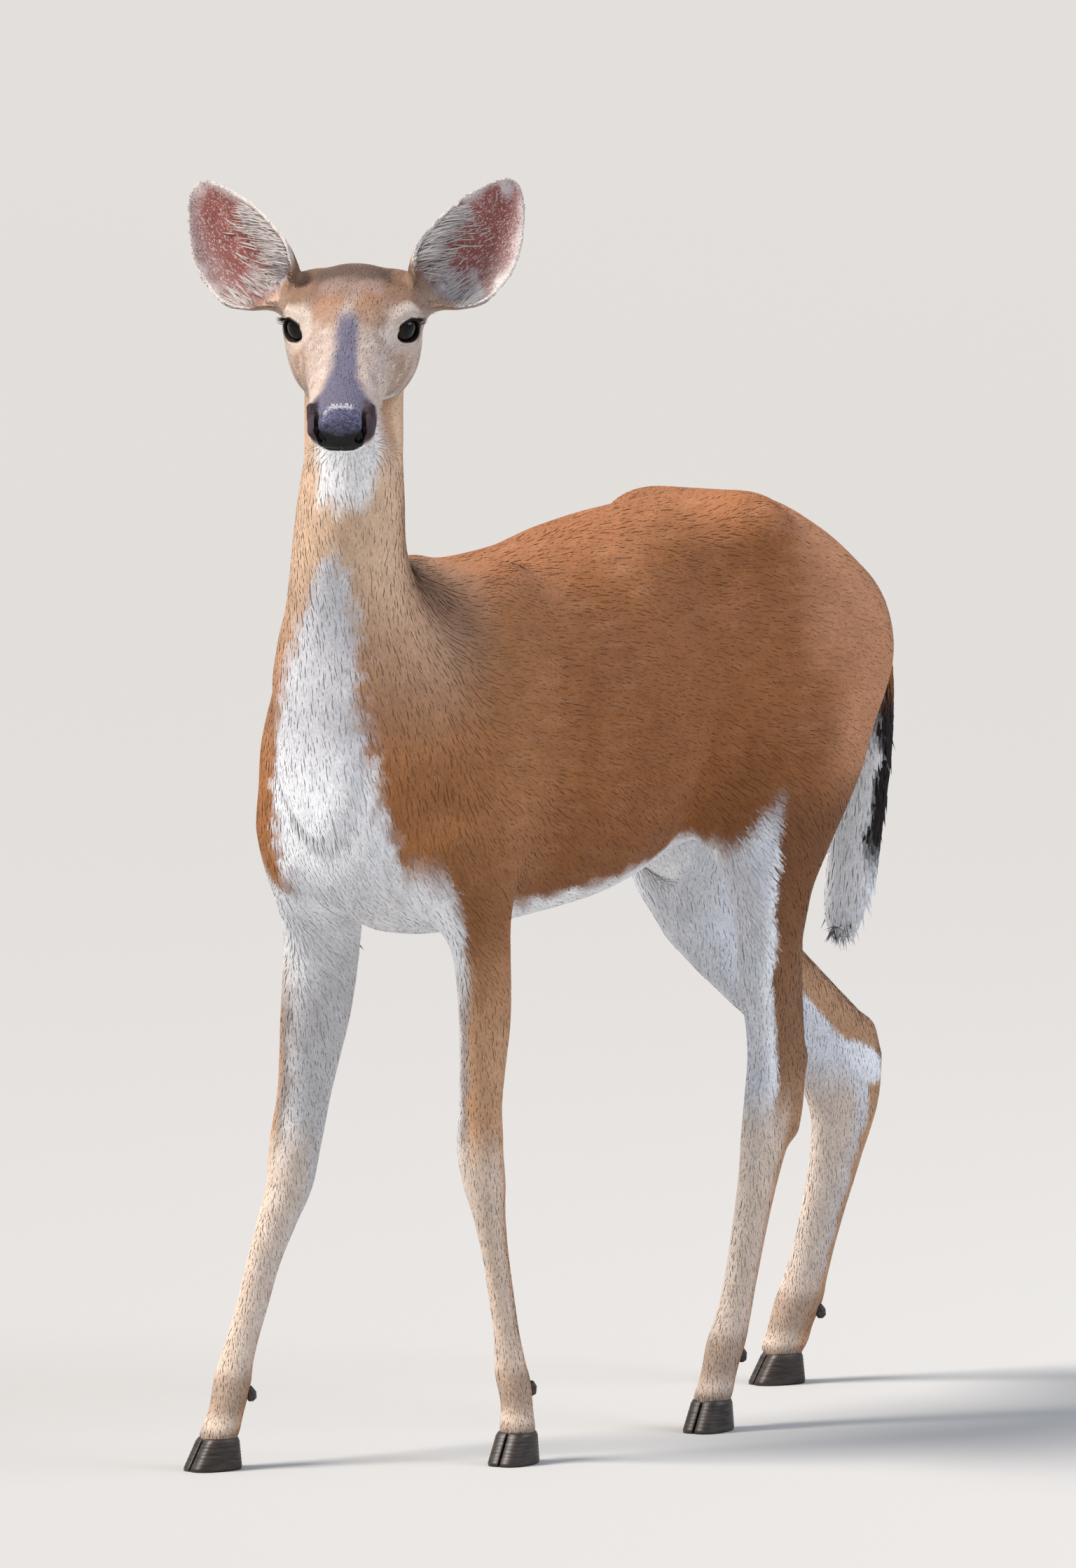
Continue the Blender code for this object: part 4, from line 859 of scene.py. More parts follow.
def markings(p):
    """Linear colour of the coat at each point of the animal."""
    q = in_head(p)
    x, y, z = p.T
    colour = np.tile(linear(RED_BROWN), (len(p), 1))

    def over(code, share):
        colour[:] += (linear(code) - colour) * np.clip(share, 0, 1)[:, None]

    soft = wobble(p, 0.10, 1)
    fine = wobble(p, 0.022, 2)
    long = wobble(p * (0.35, 1, 1), 0.018, 4)
    top, bottom, _, _, _, _ = TRUNK_AT(x)
    over(SHOULDER, ramp(x + 0.02 * soft, 0.16, 0.30))
    over(HAUNCH, ramp(-x + 0.03 * soft, 0.12, 0.22) * ramp(z, 0.56, 0.64) * 0.8)
    # Painted highlight: a paler, less saturated red-brown along the top of the back, partly the coat's colour
    # and partly the light from above on the sleek hair.
    over(SPINE_SHEEN, ramp(z - top + 0.012 * soft, -0.055, -0.01) * 0.7)
    over(TAN, 0.12 * ramp(long, 0.1, 1.2))
    over(DARK, 0.10 * ramp(-long, 0.2, 1.4))
    # Painted shade: darker brown low on the sides and low on the haunch, where less of the light from above
    # falls.
    over("#6a4428", 0.35 * ramp(-x, 0.02, 0.14) * ramp(0.70 - z, 0, 0.12) * ramp(np.abs(y), 0.05, 0.09))
    over("#6a4428", 0.35 * ramp(0.66 - z, 0, 0.12) * ramp(z, 0.46, 0.52) * ramp(np.abs(y), 0.05, 0.09))

    neck_x, neck_y, _, _, faces = NECK_AT(z)
    ahead, aside = turned(x - neck_x, y - neck_y, np.radians(faces))
    on_neck = ramp(z, 0.66, 0.82) * ramp(x + 0.4 * (z - 0.8), 0.29, 0.36)
    over(NECK_TAN, 0.9 * on_neck)
    over(NAPE, 0.85 * on_neck * ramp(-ahead, -0.012, 0.038))
    over(THROAT, 0.85 * on_neck * ramp(ahead, -0.01, 0.03) * ramp(z, 0.78, 0.88))
    stripe = np.interp(z, (0.50, 0.60, 0.68, 0.76, 0.82, 0.87, 0.90),
                       (0.062, 0.066, 0.058, 0.040, 0.029, 0.014, -0.012))
    edge = stripe - np.abs(aside) + 0.005 * fine + 0.004 * long
    front = ramp(ahead, -0.02, 0.02) * ramp(edge, -0.010, 0.012)
    front = front * ramp(x, 0.32, 0.37) * ramp(z, 0.48, 0.52)
    over(GREY_WHITE, front * 0.9 * ramp(0.92 - z, 0.0, 0.05))
    over(WHITE, 0.8 * front * hump(z, 0.62, 0.10))
    under = ramp(bottom - z + 0.010 * soft + 0.004 * fine, -0.040, -0.018) * ramp(0.42 - x, 0.0, 0.05)
    outside = ramp(np.abs(y), 0.070, 0.086) * (ramp(-x, 0.02, 0.08) + ramp(x, 0.20, 0.26))
    over(WHITE, under * (1 - outside) * ramp(x, -0.36, -0.30) * ramp(z, 0.44, 0.48))

    over(TAN, 0.85 * ramp(-z, -0.54, -0.38))
    for name in LEGS:
        line_x, line_y = LINE_AT[name](z)
        leg_ahead, leg_left = turned(x - line_x, y - line_y, np.radians(LEGS[name]["turn"]))
        side = 1 if name.endswith("left") else -1
        near = ramp(0.085 - np.hypot(leg_ahead, leg_left), 0.0, 0.012)
        inner = -side * leg_left + 0.002 * fine
        if name.startswith("fore"):
            near = near * ramp(-z, -0.60, -0.53)
            over("#8f8580", near * ramp(inner + 0.20 * leg_ahead, 0.000, 0.010) * ramp(z, 0.16, 0.30))
            over(WHITE, near * ramp(inner + 0.20 * leg_ahead, 0.000, 0.010) * ramp(z, 0.42, 0.54))
            over(WHITE, 0.5 * near * ramp(inner, 0.004, 0.012) * ramp(z, 0.05, 0.16))
        else:
            near = near * ramp(-z, -0.64, -0.58)
            over("#6e472c", 0.75 * near * ramp(0.004 - inner, 0.0, 0.012) * ramp(z, 0.24, 0.40))
            wedge = np.interp(z, (0.28, 0.36, 0.46, 0.56, 0.62), (0.000, -0.002, 0.000, 0.014, 0.055))
            over(WHITE, near * ramp(inner + 0.85 * leg_ahead - wedge, -0.003, 0.006) * ramp(z, 0.24, 0.34))
            over(GREY_WHITE, 0.75 * near * ramp(inner + 0.6 * leg_ahead, 0.002, 0.012) * ramp(z, 0.06, 0.16))
            heel = np.hypot(leg_ahead + 0.030, z - 0.325)
            over(WHITE, near * ramp(0.026 - heel, 0, 0.008) * ramp(inner, 0.0, 0.006))
        over("#d6c5b6", 0.85 * near * ramp(leg_ahead, -0.012, 0.008) * ramp(0.34 - z, 0, 0.06))
        over("#7b5b42", 0.5 * near * hump(z, 0.075, 0.03))
        over(DARK, 0.6 * near * ramp(-z, -0.048, -0.034))

    tail_x, tail_y, _, _ = TAIL_AT(z)
    tail = on_tail(p)
    behind = tail_x - x + 0.002 * fine + 0.003 * long + 0.45 * (y - tail_y)
    # Painted light: the tail is painted a brighter white than the body's white hair.
    over(TAIL_WHITE, tail)
    over(BLACK_BROWN, tail * ramp(behind, -0.005, 0.001) * ramp(z + 0.8 * (y - tail_y), 0.53, 0.58))
    over(BLACK_BROWN, 0.8 * tail * ramp(z, 0.64, 0.68))
    over(RED_BROWN, tail * ramp(behind, -0.004, 0.006) * ramp(z + 0.010 * fine, 0.675, 0.735))

    head = on_head(p)
    ahead, aside, up = q[:, 0], np.abs(q[:, 1]), q[:, 2]
    jaw = np.interp(ahead, (-0.08, 0.0, 0.05, 0.10, 0.15), (-0.092, -0.083, -0.070, -0.056, -0.050))
    face = head * ramp(up - jaw, -0.030, 0.0)
    over(CHEEK, face * ramp(ahead, -0.085, -0.020))
    over(FOREHEAD, head * ramp(up, -0.022, -0.006) * ramp(0.020 - ahead, 0, 0.03))
    over("#7d5f48", head * 0.7 * ramp(aside, 0.024, 0.034) * ramp(-ahead, -0.006, 0.014)
         * ramp(up, -0.034, -0.018))
    over(MUZZLE, face * ramp(ahead, 0.045, 0.09))
    over("#a08069", face * 0.6 * hump(np.hypot(ahead - 0.035, up + 0.045), 0, 0.030))
    over("#4f4038", head * ramp(-ahead + 0.005 * fine, 0.020, 0.044) * ramp(0.040 - aside, 0, 0.012)
         * ramp(up, -0.035, -0.010) * 0.8)
    over(BROW, head * 0.65 * hump(np.hypot(0.7 * (ahead - 0.010), aside - 0.019) + 0.003 * fine, 0, 0.021))
    bridge = np.interp(ahead, (-0.02, 0.02, 0.06, 0.10, 0.125), (0.0088, 0.0088, 0.0092, 0.0125, 0.0230))
    ridge = ramp(up, -0.050, -0.028)
    over(BRIDGE, head * ridge * ramp(bridge - aside + 0.0015 * fine, -0.007, 0.005)
         * ramp(ahead, 0.010, 0.034))
    mottle = wobble(p, 0.016, 21) + 0.6 * wobble(p, 0.008, 22)
    over("#8a6a55", face * 0.35 * ramp(mottle, 0.1, 1.2) * ramp(aside, 0.012, 0.02)
         * ramp(ahead, -0.03, 0.01))
    over("#dccfc6", face * 0.30 * ramp(-mottle, 0.0, 1.2) * ramp(aside, 0.012, 0.02) * ramp(ahead, 0.0, 0.03))
    for _, side in SIDES:
        ratio, away, high, along = almond(q, side)
        ring = np.where(away < 0.045, ratio, 9.0)
        pale = ramp(2.5 - ring + 0.1 * fine, 0.0, 0.6) * (0.35 + 0.65 * ramp(high + 0.5 * along, 0.0, 0.012))
        over("#d5c6ba", head * 0.75 * pale)
        over(DARK, head * 0.6 * ramp(1.6 - ring, 0, 0.3) * ramp(-along, 0.006, 0.014))
        tear = side_rod(q, side, (0.0120, 0.0405, -0.0345), (0.0330, 0.0365, -0.0470), 0.0015, 0.0006)
        over(LID, 0.7 * ramp(0.0026 - tear, 0, 0.002))
        over(LID, ramp(1.14 + 0.20 * ramp(high, 0.0, 0.006) - ring, 0.0, 0.08))
    over(WHITE, head * ramp(jaw - up + 0.002 * fine, -0.004, 0.006) * ramp(ahead, 0.010, 0.045))
    over(BRIDGE, head * ramp(ahead, 0.114, 0.130) * ramp(up, -0.046, -0.034))
    over("#463a41", head * ramp(ahead, 0.118, 0.130) * ramp(up, -0.050, -0.042) * ramp(aside, 0.018, 0.023))
    fringe = ramp(0.0024 - nose_outline(q), 0.0, 0.0012) * ramp(up, -0.026, -0.020)
    over("#dcdbe2", head * 0.6 * fringe * ramp(ahead, 0.128, 0.134) * ramp(0.014 - aside, 0, 0.005))
    below = 1 - head * (1 - ramp(jaw - up, -0.006, 0.006))
    chin = below * ramp(z + 0.006 * fine, 0.912, 0.945) * ramp(1.04 - z, 0, 0.03) * ramp(x, 0.455, 0.485)
    across = np.abs(turned(x - neck_x, y - neck_y, np.radians(faces))[1])
    chin_half = np.interp(z, (0.90, 0.93, 0.955, 1.0), (0.020, 0.032, 0.034, 0.030))
    over(WHITE, 0.9 * chin * ramp(chin_half - across, 0, 0.012))
    for _, side in SIDES:
        # Painted shade: the skin inside each nostril's hole is painted near black.
        over("#0c080a", head * ramp(0.0010 - np.minimum(*nostril_rods(q, side)), 0, 0.0012))
        ear, along, across, deep = ear_field(p, side)
        ear_here = ramp(0.008 - ear, 0.0, 0.005) * ramp(along, 0.12, 0.20)
        inside = ramp(-deep, -0.0022, -0.0008)
        rim = ramp(np.abs(across) + 0.08 * fine, 0.55, 1.0)
        over(EAR_BACK, ear_here)
        over(EAR_INSIDE, ear_here * inside)
        over(EAR_EDGE, ear_here * inside * np.maximum(rim, 0.45 * ramp(across, 0.2, 1.0)))
        over(EAR_EDGE, ear_here * inside * 0.9 * ramp(along + 0.06 * fine, 0.86, 0.98))
        over("#d9d0ca", ear_here * 0.9
             * np.maximum(ramp(np.abs(across), 0.86, 0.97), ramp(along, 0.95, 0.99)))
        over(WHITE, ear_here * inside * 0.8 * ramp(0.40 - along + 0.1 * fine, 0.0, 0.2)
             * ramp(side * across, -0.6, 0.2))
    return np.clip(colour * (1 + 0.06 * fine + 0.04 * soft)[:, None], 0.003, 0.9)


def give_colours(made, colours):
    """Stores a linear colour on each point of a mesh, for its material to read."""
    layer = made.data.color_attributes.new("markings", "FLOAT_COLOR", "POINT")
    layer.data.foreach_set("color",
                           np.column_stack([colours, np.ones(len(colours))]).astype(np.float32).ravel())


# Nose. The pad of bare, wet, pebbled black skin that caps the muzzle, down to the middle of the lip and
# between the nostrils. Its outline is half width and height, from the rim down.

NOSE_OUTLINE = (
    (0.0060, -0.0130), (0.0125, -0.0150), (0.0175, -0.0195), (0.0205, -0.0290), (0.0210, -0.0400),
    (0.0220, -0.0455),
    (0.0190, -0.0505), (0.0110, -0.0545),
)
NOSE_BACK = 0.1370


def nose_outline(q):
    """Negative inside the pad's outline as seen from ahead, and before its rear edge."""
    up = q[:, 2]
    half = np.interp(up, [row[1] for row in reversed(NOSE_OUTLINE)],
                     [row[0] for row in reversed(NOSE_OUTLINE)])
    edge = np.abs(q[:, 1]) - half
    ends = np.maximum(up - NOSE_OUTLINE[0][1], NOSE_OUTLINE[-1][1] - up)
    return np.maximum(np.maximum(edge, ends), NOSE_BACK - q[:, 0])


def pad_field(p):
    """The front of the face inside the outline, a little proud of the skin, with a groove down its middle."""
    q = in_head(p)
    f = face_form(p) - 0.0004
    groove = np.exp(-(q[:, 1] / 0.0011) ** 2) * ramp(-q[:, 2], 0.026, 0.036)
    f = f + 0.0010 * groove
    return common(common(f, nose_outline(q), 0.0016), -0.0035 - f, 0.001)


NOSE_STEP = 0.0009
tip_of_nose = HEAD_AT + axes(HEAD_YAW, HEAD_PITCH) @ np.array((0.146, 0.0, -0.034))
nose_points, nose_faces = field_mesh(pad_field, tip_of_nose - 0.036, tip_of_nose + 0.036, NOSE_STEP)
nose_shader, nose_tree, nose_leather = new_material("wet_nose_leather", Roughness=0.42,
                                                    Specular_IOR_Level=0.2)
nose_shader.inputs["Coat Weight"].default_value = 0.15
nose_shader.inputs["Coat Roughness"].default_value = 0.15
place = add_node(nose_tree, "ShaderNodeTexCoord").outputs["Object"]
pebbles = add_node(nose_tree, "ShaderNodeTexVoronoi", {"Vector": place, "Scale": 620.0}, feature="SMOOTH_F1")
pebbled = pebbles.outputs["Distance"]
colour_by(nose_shader, nose_tree, pebbled, (0.1, (1, 1, 1)), (0.6, (0.35, 0.35, 0.35)))
bumps = add_node(nose_tree, "ShaderNodeBump", {"Strength": 0.5, "Distance": 0.0006, "Height": pebbled},
                 invert=True)
nose_tree.links.new(bumps.outputs["Normal"], nose_shader.inputs["Normal"])
nose = new_mesh("nose", nose_points + CENTRE, nose_faces, nose_leather)
shape = bmesh.new()
shape.from_mesh(nose.data)
bmesh.ops.recalc_face_normals(shape, faces=shape.faces)
shape.to_mesh(nose.data)
shape.free()
q = in_head(nose_points)
# Painted reflection: the pad is near black, and its upper part, which faces up, is painted blue-grey for the
# sky reflected on the wet skin.
sky_reflection = ramp(q[:, 2] - 0.18 * np.abs(q[:, 1]), -0.038, -0.030) * (0.75 + 0.25 * wobble(nose_points, 0.006, 32))
shade = linear("#0c080b") + sky_reflection[:, None] * (linear("#77779a") - linear("#0c080b"))
fleck = ramp(nose_outline(q), -0.0040, -0.0016) * ramp(q[:, 2], -0.022, -0.017)
fleck = fleck * ramp(0.015 - np.abs(q[:, 1]), 0, 0.004) * ramp(wobble(nose_points, 0.0035, 31), -0.2, 0.5)
# Painted shade: the pad is painted darker still round the nostrils' holes.
for _, side in SIDES:
    for hole in nostril_rods(q, side):
        shade *= 1 - 0.9 * ramp(0.0012 - hole, 0, 0.0012)[:, None]
give_colours(nose, shade + 0.8 * fleck[:, None] * (linear("#cfd0d8") - shade))
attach(nose, "root")
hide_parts("nose_pad")


# Hide. The skin mesh drawn in under the coat, with the markings on it and a fine grain of short hair as bump.
# It is what shows between the tufts, and on its own round the eyes, the nose and the mouth.

GRAIN = 0.0016                                  # metres between the streaks of short hair in the bump


def coat_depth(p):
    """How deep the coat is, from the skin to the tips: least on the lids, and most on the tail."""
    q = in_head(p)
    z = p[:, 2]
    depth = 0.0006 + 0.0002 * ramp(z, 0.10, 0.52)
    depth = depth + 0.0006 * on_tail(p)
    head = on_head(p)
    depth = depth + (0.0008 - depth) * head
    depth = depth + (0.0006 - depth) * head * ramp(q[:, 0], 0.06, 0.12)
    for _, side in SIDES:
        ratio, away, _, _ = almond(q, side)
        depth = depth * np.where(away < 0.05, ramp(ratio, 1.25, 2.4), 1)
        ear, along, _, _ = ear_field(p, side)
        depth = depth + (0.0007 - depth) * ramp(0.006 - ear, 0.0, 0.004) * ramp(along, 0.12, 0.22)
    pad = head * ramp(0.0008 - nose_outline(q), 0, 0.0016)
    depth = depth * (1 - head * ramp(q[:, 0], 0.138, 0.150)) + 0.0014 * pad
    return depth * ramp(z, HOOF_TOP - 0.002, HOOF_TOP + 0.006)


def corner_normals(points, faces):
    """Each point's normal, from the triangles round it."""
    cross = np.cross(points[faces[:, 1]] - points[faces[:, 0]], points[faces[:, 2]] - points[faces[:, 0]])
    normals = np.stack([sum(np.bincount(faces[:, k], cross[:, axis], len(points)) for k in range(3))
                        for axis in range(3)], 1)
    return normals / np.maximum(np.linalg.norm(normals, axis=1), 1e-12)[:, None]


outer, skin_faces = skin_mesh()
outer = onto(form, outer)
outward = corner_normals(outer, skin_faces)
under = outer - outward * coat_depth(outer)[:, None]
hide_shader, hide_tree, hide = new_material("short_haired_hide", Roughness=0.75, Specular_IOR_Level=0.2)
place = add_node(hide_tree, "ShaderNodeTexCoord").outputs["Object"]
grain = add_node(hide_tree, "ShaderNodeTexNoise", {"Vector": place, "Scale": 1 / GRAIN, "Detail": 2.0})
# The grain varies the hide's colour and also lifts it about seven percent above the markings: painted light
# against the shade in the gaps between the tufts.
colour_by(hide_shader, hide_tree, grain.outputs["Fac"], (0.30, (0.98, 0.98, 0.98)),
          (0.70, (1.16, 1.16, 1.16)))
nap = add_node(hide_tree, "ShaderNodeBump",
               {"Strength": 0.5, "Distance": 0.0004, "Height": grain.outputs["Fac"]})
hide_tree.links.new(nap.outputs["Normal"], hide_shader.inputs["Normal"])
skin = new_mesh("skin", under + CENTRE, skin_faces, hide)
give_colours(skin, markings(outer))
flesh = [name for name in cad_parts
         if not any(word in name for word in ("eye", "hoof", "dewclaw", "nose"))]
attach(skin, "root")
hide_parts(*flesh)


# Eyes. Large, dark and wet, a deep brown iris that hardly shows round its wide pupil, under a clear bulging
# front.

def ball_mesh(centre, radius, looks, rings=40):
    """A ball whose front bulges a little more, as a grid from the pole it looks along to the pole behind."""
    turn = np.linspace(0, np.pi, rings)
    round_ = np.linspace(0, 2 * np.pi, 2 * rings, endpoint=False)
    side = unit(np.cross(looks, (0, 0, 1)))
    over = np.cross(looks, side)
    reach = radius * (1 + 0.02 * np.exp(-(turn / 0.5) ** 2))
    ring = np.cos(round_)[:, None] * side + np.sin(round_)[:, None] * over
    along, out = reach * np.cos(turn), reach * np.sin(turn)
    points = centre + along[:, None, None] * looks + out[:, None, None] * ring[None]
    points = np.concatenate([points[1:-1].reshape(-1, 3), points[:1, 0], points[-1:, 0]])
    return points, ringed_faces(rings - 2, 2 * rings, 2)


eye_shader, eye_tree, eye_wet = new_material("wet_dark_eye", Roughness=0.04, Specular_IOR_Level=0.12)
eye_shader.inputs["Coat Weight"].default_value = 0.15
eye_shader.inputs["Coat Roughness"].default_value = 0.02
marked = add_node(eye_tree, "ShaderNodeAttribute", attribute_name="markings")
eye_tree.links.new(marked.outputs["Color"], eye_shader.inputs["Base Color"])
for side_name, side in SIDES:
    looks = axes(HEAD_YAW, HEAD_PITCH) @ unit(EYE_LOOKS * (1, side, 1))
    middle = HEAD_AT + axes(HEAD_YAW, HEAD_PITCH) @ (EYE_AT * (1, side, 1))
    points, faces = ball_mesh(middle, EYE_RADIUS - 0.0001, looks)
    eye = new_mesh("eye_ball_" + side_name, points + CENTRE, faces, eye_wet)
    away = np.arccos(np.clip((points - middle) @ looks / np.linalg.norm(points - middle, axis=1), -1, 1))
    shade = ramp(away, 0.42, 0.50)[:, None] * (linear("#1a100b") - linear("#050405")) + linear("#050405")
    shade = shade + ramp(away, 0.72, 0.86)[:, None] * (linear("#120c0a") - shade)
    give_colours(eye, shade)
    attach(eye, "root")
    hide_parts("eye_" + side_name)


# Hooves. Two pointed claws to each foot, of dark horn that grows down in fine rings, worn smooth at the rim,
# and the two small dewclaws behind and above them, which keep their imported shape.

HOOF_HEEL, HOOF_TOE = (-0.021, -0.0175), (0.036, 0.0185)     # at the sole and the top, from the foot's middle
HOOF_HALF, HOOF_CLEFT = (0.0205, 0.0180), 0.0016


def claw_mesh(leg, side, steps=30, levels=26):
    """One claw: level rings from the sole up, straight inside and bowed outside, drawn in at both ends."""
    x, y = (float(v) for v in LINE_AT[leg](HOOF_TOP))
    ahead, left = axes(LEGS[leg]["turn"])[:, :2].T
    k = np.arange(steps + 1) / steps
    far = (1 - np.cos(np.pi * k)) / 2
    bow = np.sin(np.pi * k) ** 0.6
    far = np.concatenate([far, far[-2:0:-1]])
    bow = np.concatenate([bow, -bow[-2:0:-1]])
    up = np.linspace(0, 1, levels)
    height = up * (HOOF_TOP - 0.0004)
    heel, toe, half = (low + (high - low) * up for low, high in (HOOF_HEEL, HOOF_TOE, HOOF_HALF))
    ringed = 0.00018 * np.sin(up * 60) * ramp(up, 0.1, 0.3)
    tuck = -0.0012 * (ramp(0.12 - up, 0, 0.12) ** 2 + ramp(up, 0.86, 1.0) ** 2) + ringed
    outer = HOOF_CLEFT + (half - HOOF_CLEFT)[:, None] * bow
    inner = HOOF_CLEFT * (1 + 0.45 * bow)
    out = np.where(bow >= 0, outer + tuck[:, None] * np.abs(bow), inner)
    long = heel[:, None] + (toe - heel)[:, None] * far + tuck[:, None] * (2 * far - 1)
    spot = np.array((x, y, 0.0)) + long[..., None] * ahead + (side * out)[..., None] * left
    spot[..., 2] += height[:, None]
    points = np.concatenate([spot.reshape(-1, 3), spot[:1].mean(1), spot[-1:].mean(1)])
    faces = ringed_faces(levels, spot.shape[1], 2)
    return points, faces[:, ::-1] if side > 0 else faces


horn_shader, horn_tree, horn = new_material("dark_hoof_horn", Roughness=0.42, Specular_IOR_Level=0.4)
place = add_node(horn_tree, "ShaderNodeTexCoord").outputs["Object"]
flat = add_node(horn_tree, "ShaderNodeMapping", {"Vector": place, "Scale": (60.0, 60.0, 420.0)})
rings = add_node(horn_tree, "ShaderNodeTexNoise",
                 {"Vector": flat.outputs["Vector"], "Scale": 1.0, "Detail": 3.0})
colour_by(horn_shader, horn_tree, rings.outputs["Fac"], (0.30, linear("#1d1917")), (0.75, linear("#453a33")),
          False)
ridges = add_node(horn_tree, "ShaderNodeBump",
                  {"Strength": 0.5, "Distance": 0.0005, "Height": rings.outputs["Fac"]})
horn_tree.links.new(ridges.outputs["Normal"], horn_shader.inputs["Normal"])
for leg in LEGS:
    for side_name, side in SIDES:
        claw = new_mesh(f"{leg}_claw_{side_name}", *claw_mesh(leg, side), horn)
        claw.data.transform(mathutils.Matrix.Translation(CENTRE))
        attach(claw, "root")
        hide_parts(f"{leg}_hoof_{side_name}")
for name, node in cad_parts.items():
    if "dewclaw" in name:
        for slot in node.material_slots:
            slot.material = horn


# Coat. Short summer hair, flat and sleek, lying back along the body, down the neck and legs, and from the
# nose to the poll. Each tuft is a slim closed spindle with its root under the skin's surface and its tip just
# inside the form.

STREAK = 0.0025                                 # metres between light and dark hairs in one tuft
TUFT_SHARE = 0.180                              # the skin for one tuft, as a share of its length times width
TUFT_FACES = np.array(((0, 3, 2), (0, 1, 3), (0, 2, 1), (4, 2, 3), (4, 3, 1), (4, 1, 2)))
PATCH = np.array(((0, 0), (0.0013, -0.0005), (0.0013, 0.0005), (0.0013, 0), (0.0026, 0)))


def lie(p):
    """The way the coat lies at each point, before it is laid flat on the skin."""
    q = in_head(p)
    x, y, z = p.T
    way = np.stack([np.full(len(p), -1.0), 0 * y, -0.25 - 0.5 * ramp(-z, -0.70, -0.55)], 1)

    def turn(new, share):
        way[:] += (np.array(new) - way) * np.clip(share, 0, 1)[:, None]

    turn((-0.35, 0.0, -1.0), ramp(-x, 0.26, 0.36))
    turn((-0.45, 0.0, -1.0), ramp(-x, 0.05, 0.20) * ramp(-z, -0.66, -0.52))
    turn((-0.3, 0.0, -1.0), ramp(x, 0.30, 0.38) * ramp(z, 0.55, 0.62))
    turn((-0.15, 0.0, -1.0), ramp(z, 0.78, 0.86) * ramp(x, 0.30, 0.36))
    turn((-0.10, 0.0, -1.0), ramp(-z, -0.50, -0.42))
    turn((0.0, 0.0, -1.0), on_tail(p))
    ahead, left, up = axes(HEAD_YAW, HEAD_PITCH).T
    head = on_head(p)
    spread = (q[:, 1] * 6)[:, None] * left + (ramp(-q[:, 2], 0.02, 0.06) * -0.35)[:, None] * up
    way[:] += (-ahead + spread - way) * head[:, None]
    for _, side in SIDES:
        ear, along, _, _ = ear_field(p, side)
        on_ear = ramp(0.006 - ear, 0.0, 0.004) * ramp(along, 0.12, 0.2)
        turn(axes(HEAD_YAW) @ np.array(EAR_POINTS[side]) * 8, on_ear)
    return way + 0.10 * np.stack([wobble(p, 0.05, 11), wobble(p, 0.06, 12), wobble(p, 0.05, 13)], 1)


def hair_length(p):
    """Length of the tufts: longest on the body and neck, short on the legs, ears and face."""
    q = in_head(p)
    z = p[:, 2]
    long = 0.0125 + 0.0095 * ramp(z, 0.36, 0.56)
    long = long + (0.030 - long) * on_tail(p)
    head = on_head(p)
    long = long + (0.0078 - long) * head
    long = long + (0.0046 - long) * head * ramp(q[:, 0], 0.07, 0.12)
    for _, side in SIDES:
        ear, along, across, _ = ear_field(p, side)
        rim = ramp(np.maximum(np.abs(across), along), 0.45, 0.78)
        long = long + (0.0082 - 0.0042 * rim - long) * ramp(0.006 - ear, 0.0, 0.004) * ramp(along, 0.12, 0.22)
        ratio, away, _, _ = almond(q, side)
        long = long * np.where(away < 0.05, 0.4 + 0.6 * ramp(ratio, 1.2, 2.6), 1)
    return long * (0.6 + 0.4 * ramp(z, 0.03, 0.12))


def bare(p):
    """True where no coat grows: the nose pad, the lids' rims, the nostrils and the lips' line."""
    q = in_head(p)
    mouth, = MOUTH_AT(q[:, 0])
    out = (q[:, 0] > 0.1400) | (nose_outline(q) < 0.0012)
    out |= (np.abs(q[:, 2] - mouth) < 0.0015) & (q[:, 0] > 0.08)
    for _, side in SIDES:
        ratio, away, _, _ = almond(q, side)
        out |= (ratio < 1.30) & (away < 0.05)
        _, along, across, inner = ear_field(p, side)
        out |= (inner > 0.0015) & ((np.abs(across) > 0.86) | (along > 0.95)) & (along > 0.3) & (inner < 0.01)
    return (out & (p[:, 2] > 0.95)) | (p[:, 2] < HOOF_TOP + 0.001)


random = np.random.default_rng(20)
corners = under[skin_faces]
middles = outer[skin_faces].mean(1)
area = np.linalg.norm(np.cross(corners[:, 1] - corners[:, 0], corners[:, 2] - corners[:, 0]), axis=1) / 2
long_here = hair_length(middles)
wide_here = 0.0010 + 0.062 * long_here
share = area / (long_here * wide_here * TUFT_SHARE) * ~bare(middles)
count = np.floor(share + random.uniform(size=len(share))).astype(int)
on_face = np.repeat(np.arange(len(skin_faces)), count)
a, b = random.uniform(size=(2, len(on_face)))
a, b = np.where(a + b > 1, 1 - a, a), np.where(a + b > 1, 1 - b, b)
weights = np.stack([1 - a - b, a, b], 1)[:, :, None]
root = (under[skin_faces[on_face]] * weights).sum(1)
above = (outer[skin_faces[on_face]] * weights).sum(1)
normal = (outward[skin_faces[on_face]] * weights).sum(1)
normal /= np.linalg.norm(normal, axis=1)[:, None]
length = long_here[on_face] * random.uniform(0.8, 1.2, len(root))
width = wide_here[on_face] * random.uniform(0.8, 1.2, len(root))
deep = coat_depth(above)
way = lie(above) + 0.12 * random.normal(size=root.shape)
way -= normal * (way * normal).sum(1)[:, None]
way /= np.linalg.norm(way, axis=1)[:, None]
aside = np.cross(normal, way)
rise = np.stack([0.84 * deep + 0.0001, 0.74 * deep]) * random.uniform(0.94, 1.04, len(root))
middle = above + way * (0.42 * length)[:, None]
tip = above + way * length[:, None]
middle -= normal * (form(middle) + deep - rise[0]).clip(-0.004, 0.004)[:, None]
tip -= normal * (form(tip) + deep - rise[1]).clip(-0.006, 0.006)[:, None]
half = aside * (width / 2)[:, None]
thick = normal * (0.06 * width)[:, None]
